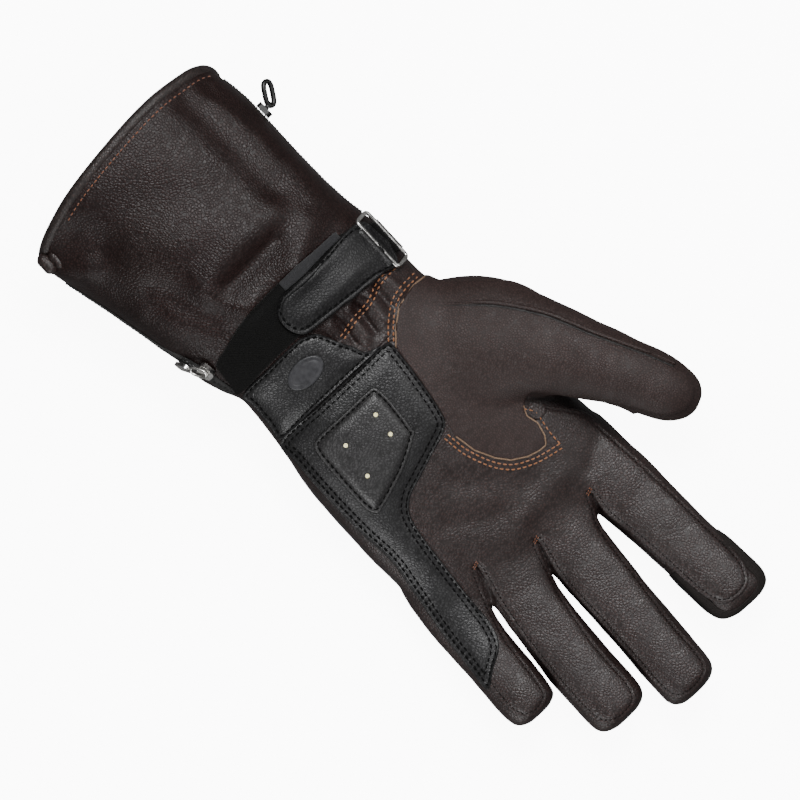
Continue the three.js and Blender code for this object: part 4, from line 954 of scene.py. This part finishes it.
# Palm and finger fronts in one piece, over the seams that run up each finger
PALM_EDGE = [
    (-30, -20), (-10, -20), (10, -20), (29.4, -20), (31.2, -8), (32.2, 10), (32.2, 30), (31.5, 45),
    (33.2, 60), (35, 80), (36.5, 100), (37.6, 118), (36, 126), (31, 129), (26, 128.6), (22.2, 126),
    (20.8, 120), (19.8, 110), (18.8, 100), (16.4, 90), (14.4, 83.5), (11.9, 77), (9.2, 70.6), (7.8, 70.2),
    (8.8, 76), (11.2, 86), (13.4, 100), (14.6, 112), (15.6, 124), (16, 140), (14.6, 149), (10, 153.3),
    (3, 154), (-2.5, 152), (-5, 146), (-5.4, 136), (-6, 124), (-7.6, 112), (-9.6, 100), (-12, 92),
    (-13.6, 86), (-15.8, 79.6), (-17.2, 79.4), (-16, 85), (-14, 94), (-13.3, 104), (-13.2, 120),
    (-12.8, 140), (-12.4, 156), (-14.6, 163.2), (-20, 165.3), (-27, 165), (-32, 162), (-33.8, 155),
    (-34.2, 142), (-35.5, 128), (-37, 114), (-38.2, 100), (-40.2, 90), (-42.2, 86), (-44.4, 80.2),
    (-46, 79.8), (-45.2, 85), (-44.8, 92), (-46.6, 102), (-48, 114), (-49, 126), (-50.6, 140),
    (-53.5, 147.5), (-60, 150), (-67, 148.6), (-71, 142), (-71.6, 132), (-70.8, 118), (-70.2, 104),
    (-69.4, 90), (-68.2, 76), (-67, 64), (-65.5, 54), (-58, 44), (-52, 37), (-47, 43), (-42, 48),
    (-34, 46), (-28, 38), (-25, 26), (-27, 10), (-29, -4),
]
_, palm_top, palm_line = drape(
    "palm_leather", PALM_EDGE, 0.9, BROWN, ["palm_panel"],
    rows=[PALM_ROW], groove=0.45)

WRIST_EDGE = [
    (-53, -39), (-40, -37.8), (-33, -35), (-24, -34), (-15, -33), (0, -36), (14, -39), (27.6, -40),
    (28.6, -30), (29, -21), (10, -21), (-10, -21), (-28, -21), (-34, -25), (-42, -29), (-53, -31),
]
_, wrist_top, _ = drape(
    "wrist_leather", WRIST_EDGE, 0.5, BROWN, ["wrist_panel"], lift=-0.1)

THUMB_EDGE = [
    (-56, -29), (-50, -29.5), (-40, -27), (-33, -21.5), (-28, -16), (-26, 0), (-23.8, 13), (-21.4, 26),
    (-23, 35), (-27, 43), (-31, 48), (-37, 51.6), (-42, 53), (-45.4, 53.2), (-47.6, 50), (-49, 44.5),
    (-47.6, 39.5), (-49.4, 35.6), (-55.6, 33.2), (-63.4, 41.8), (-69.8, 50.2), (-77, 59.4), (-82.2, 67),
    (-86.4, 74), (-91.2, 77.8), (-97, 79.2), (-102, 76.8), (-104.4, 71), (-102, 61), (-97.6, 49.5),
    (-92.6, 36.5), (-89.5, 27.5), (-87.4, 19.5), (-84.8, 11), (-82, 1.5), (-77.8, -5.6), (-68.4, -14.4),
    (-59.6, -22.6),
]
THUMB_RIDGE = [(-104.5, 64), (-100, 54), (-93, 40), (-89, 32), (-85, 23), (-80, 13), (-70, -1), (-60, -11),
               (-50, -20)]
_, thumb_top, _ = drape(
    "thumb_front_leather", THUMB_EDGE, 0.8, THUMB, ["thumb_front"], lift=0.5)

KEYSTONE = [
    (-48.6, 36.6), (-51.6, 34.8), (-54.4, 36), (-56, 39.5), (-55, 43), (-52.4, 44.2), (-49.8, 43.6),
    (-48, 40),
]
drape("thumb_keystone", KEYSTONE, 0.5, BROWN, on=palm_top, spacing=0.8)

# Black leather on the palm
PATCH_EDGE = [
    (-21, 20), (-24, 13), (-26, 0), (-27.5, -15), (-26, -20), (-10, -20), (10, -20), (30.2, -20),
    (31.6, -10), (32.3, 10), (32, 30), (31, 45), (33, 60), (36, 80), (37.4, 98), (38, 109), (31, 104.6),
    (25, 101), (22, 97), (20, 90), (19, 80), (18, 70), (17, 60), (16, 50), (15, 43), (13, 36), (8, 31),
    (0, 28), (-10, 24.5),
]


def patch_swell(plan, inner):
    return 0.5 * step_between(inner, 3, 8) * step_between(-plan[:, 1], -70, -20)


_, patch_top, patch_line = drape(
    "palm_patch_leather", PATCH_EDGE, 1.1, BLACK, ["palm_patch"], lift=0.55,
    rows=PATCH_ROWS, shape=patch_swell)

HEEL_EDGE = [
    (-24, -20.4), (-18, -23), (-15.5, -28), (-13, -33), (-9, -41), (-4, -43.8), (0, -44.5), (15, -44.3),
    (28.6, -44), (28.8, -38), (29.4, -28), (29.8, -20.4), (14, -20.4), (-6, -20.4),
]
_, heel_top, heel_line = drape(
    "heel_patch_leather", HEEL_EDGE, 1.1, BLACK, ["heel_patch"], lift=0.35,
    rows=[HEEL_ROW], shape=lambda plan, inner: 0.5 * step_between(inner, 2, 6))

PAD_EDGE = [
    (-10, 14), (0, 20), (10, 24), (20, 27), (23, 26.2), (24.5, 20), (24, 0), (23, -8), (20, -11),
    (6, -11), (-8, -11), (-11, -10), (-12, -5), (-11.5, 5), (-10.5, 12),
]


def pad_swell(plan, inner):
    return 1.5 * step_between(inner, 0.6, 4.5)


pad, pad_top, pad_line = drape(
    "patch_pad_leather", PAD_EDGE, 0.9, PAD, ["patch_pad"], on=patch_top,
    rows=[PAD_ROW], shape=pad_swell)

# A plain oval: its middle in plan and half of its length and width
BADGE_X, BADGE_Y = 5, -33
BADGE_LONG, BADGE_WIDE = 8.5, 5.2
BADGE_EDGE = [(BADGE_X + BADGE_LONG * math.cos(a), BADGE_Y + BADGE_WIDE * math.sin(a))
              for a in np.linspace(0, 2 * math.pi, 28, endpoint=False)]
drape(
    "oval_badge", BADGE_EDGE, 0.7, BADGE, ["plain_badge"], on=heel_top, spacing=0.8,
    rows=(1.4,), groove=0.3, smooth=False)

# Eyelets of the pad: their places, and their rings from the foot over the rim to the middle
EYELETS = [(-3, 7.6), (15, 13.5), (13, -1.2), (-4, -2)]
EYELET_RINGS = [(0.88, -0.4), (0.88, 0.2), (0.80, 0.36), (0.64, 0.36), (0.5, 0.2), (0.3, 0.15),
                (0.08, 0.15)]
EYELET_SIDES = 20
for number, (x, y) in enumerate(EYELETS, 1):
    place, up = seat_on([pad_top], x, y)
    side = np.cross(up, (0, 1, 0))
    side /= np.linalg.norm(side)
    ahead = np.cross(side, up)
    points = [place + up * rise + radius * (side * math.cos(a) + ahead * math.sin(a))
              for radius, rise in EYELET_RINGS
              for a in np.linspace(0, 2 * math.pi, EYELET_SIDES, endpoint=False)]
    faces = [face[::-1] for face in ring_faces(len(EYELET_RINGS), EYELET_SIDES)]
    add_piece(f"vent_eyelet_{number}", points, faces, CREAM, [f"vent_dot_{number}"])


# Strap across the wrist
def fuzz(plan, inner):
    return 0.30 * wrinkles([(x, y, 0) for x, y in plan], 1.3, 5.0)


BAND_EDGE = [
    (-46, -45.5), (-20, -45.5), (10, -45.5), (29, -45.2), (29.8, -50), (29.2, -57), (28, -60),
    (20, -62), (10, -64.5), (-10, -66), (-24, -65), (-46, -62),
]
drape("loop_band_fabric", BAND_EDGE, 1.3, LOOP, ["loop_band"], spacing=0.7, shape=fuzz)

LABEL_EDGE = [
    (-41, -62.6), (-26, -62.6), (-11.5, -62.6), (-11.5, -66), (-26, -66.2), (-41, -66),
]
drape("edge_label_fabric", LABEL_EDGE, 0.8, LABEL, ["edge_label"], lift=1.1, spacing=0.7,
      smooth=False)

TAB_EDGE = [
    (-50.5, -41.2), (-40, -41.7), (-30, -42.2), (-18, -43.3), (-8, -44.2), (-4.5, -45.6), (-2.2, -49),
    (-1.5, -53), (-2.2, -57), (-4.5, -60), (-8, -61.8), (-12, -62.2), (-30, -61.9), (-50.5, -61.5),
]


def tab_folds(plan, inner):
    ridge = np.exp(-((plan[:, 1] + 49) / 2.2) ** 2) - 0.7 * np.exp(-((plan[:, 1] + 56) / 2.4) ** 2)
    return 0.6 * ridge * step_between(-plan[:, 0], 4, 18) + 0.25 * step_between(inner, 2, 6)


_, tab_top, tab_line = drape(
    "strap_tab_leather", TAB_EDGE, 1.9, STRAP, ["strap_tab"], lift=1.5,
    rows=[TAB_ROW], shape=tab_folds)


def node_frame(node):
    """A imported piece's middle, its own three axes from the longest, and its reach along them"""
    source = np.array([v.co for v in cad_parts[node].data.vertices]) / MM
    middle = (source.min(0) + source.max(0)) / 2
    _, _, axes = np.linalg.svd(source - middle, full_matrices=False)
    return middle, axes, np.abs((source - middle) @ axes.T).max(0)


WIRE_RADIUS = 0.85
RING_CORNER = 1.6
ring_mid, (ring_length, ring_across, ring_up), ring_reach = node_frame("strap_ring")
ring_length = ring_length * np.sign(ring_length[1])
ring_across = ring_across * np.sign(ring_across[0])
ring_long, ring_wide = ring_reach[0] - WIRE_RADIUS, ring_reach[1] - WIRE_RADIUS
fold_bar, keeper_bar = ring_mid + ring_across * ring_wide, ring_mid - ring_across * ring_wide
ring_path = []
for sign_a, sign_b, quarter in ((1, 1, 0), (-1, 1, 1), (-1, -1, 2), (1, -1, 3)):
    for t in np.linspace(0, 1, 7):
        angle = (quarter + t) * math.pi / 2
        ring_path.append(
            ring_mid
            + ring_across * (sign_a * (ring_wide - RING_CORNER) + RING_CORNER * math.cos(angle))
            + ring_length * (sign_b * (ring_long - RING_CORNER) + RING_CORNER * math.sin(angle)))
tube("strap_ring_wire", ring_path, [ring_up] * len(ring_path), WIRE_RADIUS, WIRE_RADIUS, NICKEL,
     ["strap_ring"], sides=16, closed=True)


# Folds round the ring's bars: the share of their width at their ends, over which length they
# reach the whole of it, and how far they lie under the bars
WRAP_END = 0.72
WRAP_ROUND = 1.2
UNDER = np.array([0, 0, -0.9])


def wrap(name, bar_place, length, radius, material):
    """Leather or webbing folded round one of the ring's bars"""
    along = np.linspace(-length / 2, length / 2, 24)
    path = [bar_place + ring_length * t for t in along]
    ends = np.clip((length / 2 - np.abs(along)) / WRAP_ROUND, 0, 1)
    tube(name, path, [(0, 0, 1)] * len(path), radius, radius, material,
         sides=24, taper=WRAP_END + (1 - WRAP_END) * np.sqrt(1 - (1 - ends) ** 2))


wrap("strap_fold", fold_bar + ring_across * 2.3 + UNDER, 19.2, 1.6, BLACK)
wrap("keeper_fold", keeper_bar + ring_across * 2.2 + UNDER, 15, 1.5, LOOP)


def side_sheet(name, zs, ys, direction, rise, material, nodes=()):
    """Cloth on the glove's side: rays run in from the side over a grid"""
    places, ups = [], []
    for z in zs:
        for y in ys:
            hit = skin.cast((-ABOVE * direction, y, z), (direction, 0, 0))
            hit = hit or skin.nearest((-50 * direction, y, z))
            places.append(hit[0])
            ups.append(hit[1])
    places, ups = np.array(places), np.array(ups)
    wide = len(ys)
    faces = []
    for i in range(len(zs) - 1):
        for j in range(wide - 1):
            a = i * wide + j
            faces.append([a, a + 1, a + wide + 1, a + wide])
    points, all_faces, _ = shell(places + ups * rise, ups, faces, rise + SINK)
    piece = add_piece(name, points, all_faces, material, nodes)
    bm = bmesh.new()
    bm.from_mesh(piece.data)
    bmesh.ops.recalc_face_normals(bm, faces=bm.faces)
    bm.to_mesh(piece.data)
    bm.free()


side_sheet("ring_keeper_webbing", np.linspace(24, 45, 20), ring_mid[1] + np.linspace(-7.5, 7.5, 16), 1,
           1.9, LOOP, ["ring_keeper"])


# Overlay round the back of the index fingertip
def cut_skin(planes):
    bm = skin_bm.copy()
    for place, outward in planes:
        bmesh.ops.bisect_plane(
            bm, geom=[*bm.verts, *bm.edges, *bm.faces], plane_co=Vector(place) * MM,
            plane_no=Vector(outward), clear_outer=True)
    bm.verts.index_update()
    result = arrays(bm)
    bm.free()
    return result


CAP_START = 126
CAP_TOP = 27.5
CAP_THICK = 1.5
cap_points, cap_normals, cap_faces = cut_skin([
    ((-44, 0, 0), (1, 0, 0)), ((0, CAP_START, 0), (0, -1, 0)), ((0, 140, CAP_TOP), (0, -0.02, 1))])
cap_lift = 0.45 + 0.65 * step_between(cap_points[:, 1], CAP_START, CAP_START + 6)
cap_lift = cap_lift * (1 - 0.6 * step_between(cap_points[:, 2], CAP_TOP - 3, CAP_TOP))
points, all_faces, _ = shell(
    cap_points + cap_normals * cap_lift[:, None], cap_normals, cap_faces, CAP_THICK)
add_piece("fingertip_overlay", points, all_faces, GRIP, ["index_tip_cap"])


# Binding round the mouth: its radius, how far it lies in and back, and its lowest middle
BINDING_RADIUS = 2.5
BINDING_IN = 1.2
BINDING_BACK = 1.3
BINDING_LOWEST = 2.7
mouth_loop = []
edges = [e for e in skin_bm.edges if e.is_boundary]
here = edges[0].verts[0]
last = None
while True:
    mouth_loop.append(np.array(here.co) / MM)
    onward = [e for e in here.link_edges if e.is_boundary and e is not last]
    last = onward[0]
    here = last.other_vert(here)
    if here is edges[0].verts[0]:
        break
mouth = evenly(np.array(mouth_loop), 1.6, True)
centre = mouth.mean(0)
out = mouth - centre
out[:, 1] = 0
out /= np.linalg.norm(out, axis=1)[:, None]
back = np.array([-MOUTH_SLANT, 1, MOUTH_RAKE])
back /= np.linalg.norm(back)
rim = mouth - out * BINDING_IN - back * BINDING_BACK
rim[:, 2] = np.maximum(rim[:, 2], BINDING_LOWEST)
for _ in range(6):
    rim = (np.roll(rim, 1, axis=0) + 2 * rim + np.roll(rim, -1, axis=0)) / 4
tube("mouth_binding", rim, out, BINDING_RADIUS, BINDING_RADIUS, BINDING,
     ["cuff_binding"], sides=18, closed=True)

# The binding's folded end beside the little finger's corner
corner = rim[np.argmax(rim[:, 0] - 0.2 * np.abs(rim[:, 2] - 40))]
NUBS = table("shift half_length wide tall", [
    ((-0.2, 1.6, 9), 4.6, 2.9, 3.4),
    ((-4.2, 3.2, 10.5), 4.2, 2.2, 3.0),
])
nub_steps = np.linspace(-1, 1, 16)
for number, nub in enumerate(NUBS, 1):
    nub_path = [corner + np.array(nub["shift"]) + np.array([0.8 * t * t, nub["half_length"] * t, 0])
                for t in nub_steps]
    tube(f"binding_fold_{number}", nub_path, [(0, 0, 1)] * len(nub_path), nub["wide"], nub["tall"],
         BROWN, sides=16, taper=np.sqrt(np.clip(1 - nub_steps ** 4, 0.03, 1)))


# Zips at both sides of the gauntlet: where their teeth stand, and the share of a tooth at its top
TOOTH_PITCH = 1.5
TOOTH_ASIDE = 0.45
TOOTH_SINK = 0.2
TOOTH_HALF = 0.35
TOOTH_TOP = 0.7


def zip_line(start, end, side):
    places, ups = [], []
    for y in np.linspace(start, end, 60):
        section = section_at(y)
        middle, reach = cuff_middle(y)
        x = section["right"] if side > 0 else section["left"]
        place, up = skin.nearest((x + side * 2, y, middle + reach * cuff_seam_height(y, side)))
        places.append(place)
        ups.append(up)
    return np.array(places), np.array(ups)


def add_zip(name, start, end, side, nodes):
    places, ups = zip_line(start, end, side)
    tube(name + "_tape", places, ups, 3.0, 0.4, TAPE, nodes, sides=12)
    path = evenly(np.hstack([places, ups]), TOOTH_PITCH, False)
    along, across, up = frames_along(path[:, :3], path[:, 3:])
    points, faces = [], []
    for k, (p, a, c, u) in enumerate(zip(path[:, :3], along, across, up)):
        middle = p + c * (TOOTH_ASIDE if k % 2 else -TOOTH_ASIDE) + u * TOOTH_SINK
        f = len(points)
        for rise, shrink in ((-TOOTH_HALF, 1.0), (TOOTH_HALF, TOOTH_TOP)):
            for sa, sc in ((-1, -1), (1, -1), (1, 1), (-1, 1)):
                points.append(middle + a * sa * 0.5 * shrink + c * sc * 0.8 * shrink + u * rise)
        faces += [(f + 3, f + 2, f + 1, f), (f + 4, f + 5, f + 6, f + 7)]
        faces += [(f + i, f + (i + 1) % 4, f + 4 + (i + 1) % 4, f + 4 + i) for i in range(4)]
    teeth = add_piece(name + "_teeth", points, faces, WIRE)
    teeth.data.set_sharp_from_angle(angle=math.radians(35))


add_zip("thumb_side_zip", -66, -141, -1, ["radial_zip"])
add_zip("little_side_zip", -45, -124, 1, ["ulnar_zip"])


PULL_RADIUS = 1.1
BAIL_RADIUS = 0.55


def bent_wire(name, node, radius, material):
    """A wire loop in the place of a packed one, read from that one's own axes"""
    middle, (long, wide, up), reach = node_frame(node)
    path = []
    for t in np.linspace(0, 2 * math.pi, 48, endpoint=False):
        a = signed_power(np.cos(t), 0.55)
        b = signed_power(np.sin(t), 0.8)
        path.append(middle + long * (reach[0] - radius) * a + wide * (reach[1] - radius) * b)
    tube(name, path, [up] * len(path), radius, radius, material, [node], sides=12, closed=True)
    return middle, long, reach[0]


pull_mid, pull_along, pull_reach = bent_wire(
    "wire_pull", "radial_pull", PULL_RADIUS, WIRE)
bent_wire("pull_bail", "ulnar_bail", BAIL_RADIUS, NICKEL)
slider_mid = np.mean([np.array(c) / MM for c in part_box("radial_slider")], axis=0)
pull_along = pull_along * np.sign(pull_along @ (slider_mid - pull_mid))
pull_end = pull_mid + pull_along * (pull_reach - 2 * PULL_RADIUS)
lug = [slider_mid + (pull_end - slider_mid) * t + np.array([0, 0, 1.3]) * math.sin(math.pi * t)
       for t in np.linspace(0, 1, 12)]
tube("slider_lug", lug, [(0, 0, 1)] * len(lug), 1.1, 0.45, WIRE, sides=10)
for node, material in (("radial_slider", WIRE), ("ulnar_slider", NICKEL), ("ulnar_pull", NICKEL)):
    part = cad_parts[node]
    part.data.materials.clear()
    part.data.materials.append(material)


# Thread, in rows as far inside each edge as its grooves are
def whole_line(outline, distance):
    line = inset(evenly(outline, OUTLINE_STEP, True), distance)
    return np.vstack([line, line[:1]])


black_rows = [
    *[whole_line(patch_line, row) for row in PATCH_ROWS], whole_line(heel_line, HEEL_ROW),
    whole_line(pad_line, PAD_ROW), whole_line(tab_line, TAB_ROW)]
stitches("patch_thread", black_rows, [patch_top, heel_top, pad_top, tab_top], DARK)

# The palm's row shows on the fingers only, in runs of more than a few points
SEWN_FROM = 62
SHORTEST_ROW = 8
panel_rows = []
panel_line = whole_line(palm_line, PALM_ROW)
on_finger = panel_line[:, 1] > SEWN_FROM
last_k = None
for k in np.flatnonzero(on_finger[:-1] & on_finger[1:]):
    if last_k is None or k != last_k + 1:
        panel_rows.append([panel_line[k]])
    panel_rows[-1].append(panel_line[k + 1])
    last_k = k
panel_rows = [np.array(row) for row in panel_rows if len(row) > SHORTEST_ROW]
stitches("panel_thread", panel_rows, [palm_top], SEWN, pitch=1.9, long=1.25, thick=0.17)
tacks = [[(x - 0.9, y - 0.5 + 0.9 * k), (x + 1.3, y + 0.3 + 0.9 * k)]
         for x, y in ((-45.6, 79.0), (-16.8, 78.6), (7.9, 69.4)) for k in (-0.6, 0.4)]
stitches("crotch_tacks", tacks, [palm_top, skin], RUST, pitch=1.1, long=1.0, thick=0.24)

# Rows of orange thread in plan, and the part of the mouth that the rust row follows
MOUTH_ROW_LOWEST = 45
MOUTH_ROW_END = 37
MOUTH_ROW_IN = 2.7
THENAR_LOWER = rounded([(-53, -30.8), (-46, -30.4), (-40, -28.6), (-34, -24), (-29.5, -19)], False)
THENAR_UPPER = rounded([
    (-19.6, 24), (-21, 33), (-25, 43), (-30, 49.5), (-37, 53.4), (-43, 55.2), (-49, 56.4)], False)
THENAR_BRANCH = rounded([(-49.8, 56), (-50, 50), (-51, 44), (-51.2, 40.5), (-49, 37)], False)
WRIST_ROW = rounded([(-51, -39.4), (-40, -38.3), (-33, -35.4), (-24, -34.4), (-16, -32.6)], False)
front_rim = mouth[(mouth[:, 2] > MOUTH_ROW_LOWEST) & (mouth[:, 0] < MOUTH_ROW_END)]
front_rim = front_rim[np.argsort(front_rim[:, 0])][::4, :2]
MOUTH_ROW = offset_line(rounded(front_rim, False), MOUTH_ROW_IN)
stitches("mouth_thread", [MOUTH_ROW], [skin], RUST, pitch=2.2, long=1.6, thick=0.26)
orange_rows = [
    THENAR_LOWER, offset_line(THENAR_LOWER, -2.0), THENAR_UPPER, offset_line(THENAR_UPPER, -2.0),
    THENAR_BRANCH, WRIST_ROW, offset_line(WRIST_ROW, -1.7)]
stitches("orange_thread", orange_rows, [skin, palm_top, wrist_top, thumb_top], ORANGE,
         pitch=2.2, long=1.7, thick=0.32)


# The thumb's cut edge, and the seam along its outer side, with a line of painted shadow beside the seam's
# ridge
RAW_RADIUS = 0.34
RAW_LIFT = 0.05
SEAM_BESIDE = 1.3
SEAM_FADE = 26


def raw_edge(name, line, surfaces):
    hits = [seat_on(surfaces, x, y) for x, y in evenly(line, 1.0, False)]
    path = [place + up * RAW_LIFT for place, up in hits]
    tube(name, path, [up for _, up in hits], RAW_RADIUS, RAW_RADIUS, RAW, sides=8)


def thumb_seam(name, line, lift, wide, tall, material, sides):
    hits = [thumb_top.under(x, y) or seat_on([skin], x, y) for x, y in line]
    fade = step_between(np.arange(len(line))[::-1], 0, SEAM_FADE)
    tube(name, [place + up * lift for place, up in hits], [up for _, up in hits], wide, tall, material,
         sides=sides, taper=0.05 + 0.95 * fade)


raw_edge("raw_edge_lower", THUMB_EDGE[0:5], [skin, wrist_top, palm_top, thumb_top])
raw_edge("raw_edge_upper", THUMB_EDGE[7:18], [skin, palm_top, thumb_top])
ridge = evenly(rounded(THUMB_RIDGE, False), 1.0, False)
thumb_seam("thumb_seam_ridge", ridge, RAW_LIFT, 1.0, 0.75, THUMB, 10)
# Painted shadow: a dark tube of shaded leather laid beside the seam's ridge
thumb_seam("thumb_seam_painted_shadow", offset_line(ridge, SEAM_BESIDE), 0, 0.55, 0.18, SHADE, 8)


# Floor, light and camera
def lamp(name, place, size, power, target=(-15, 0, 20)):
    data = bpy.data.lights.new(name, "AREA")
    data.shape = "RECTANGLE"
    data.size, data.size_y = [value * MM for value in size]
    data.energy = power
    light = bpy.data.objects.new(name, data)
    light.location = Vector(place) * MM
    light.rotation_euler = (Vector(target) - Vector(place)).to_track_quat("-Z", "Y").to_euler()
    bpy.context.scene.collection.objects.link(light)


floor_mesh = bpy.data.meshes.new("floor")
corners = [(x * PAPER_HALF, y * PAPER_HALF, 0) for x, y in ((-1, -1), (1, -1), (1, 1), (-1, 1))]
floor_mesh.from_pydata(corners, [], [(0, 1, 2, 3)])
floor = bpy.data.objects.new("floor", floor_mesh)
bpy.context.scene.collection.objects.link(floor)
floor.location.z = -PAPER_DROP
floor_material, _, _, floor_shader, _ = new_material("pale_floor")
floor_shader.inputs["Base Color"].default_value = (0.9, 0.9, 0.9, 1)
floor_shader.inputs["Roughness"].default_value = 0.9
floor_shader.inputs["Emission Color"].default_value = (1, 1, 1, 1)
floor_shader.inputs["Emission Strength"].default_value = PAPER_GLOW
floor.visible_diffuse = False
floor.visible_glossy = False
floor_mesh.materials.append(floor_material)


def from_view(right, up, height):
    """A place given as the photograph shows it, in millimetres"""
    place = VIEW_RIGHT * right + VIEW_UP * up
    return (place.x, place.y, height)


lamp("key", from_view(40, 400, 860), size=(460, 330), power=13.5)
lamp("side", from_view(640, 120, 430), size=(300, 460), power=1.6)
lamp("low", from_view(-180, -720, 260), size=(420, 260), power=5)
world = bpy.data.worlds.new("studio")
world.use_nodes = True
world.node_tree.nodes["Background"].inputs["Color"].default_value = (1, 1, 1, 1)
world.node_tree.nodes["Background"].inputs["Strength"].default_value = WORLD_LIGHT
bpy.context.scene.world = world

camera_data = bpy.data.cameras.new("camera")
camera_data.lens = VIEW_LENS
camera_data.sensor_width = SENSOR
camera_data.clip_end = 20
camera = bpy.data.objects.new("camera", camera_data)
distance = VIEW_SPAN * VIEW_LENS / SENSOR
right, up = VIEW_RIGHT.normalized(), VIEW_UP.normalized()
place = Vector(VIEW_MIDDLE) + Vector((0, 0, distance))
matrix = Matrix((right, up, (0, 0, 1))).transposed().to_4x4()
matrix.translation = place * MM
camera.matrix_world = matrix
bpy.context.scene.collection.objects.link(camera)
bpy.context.scene.camera = camera

skin_bm.free()
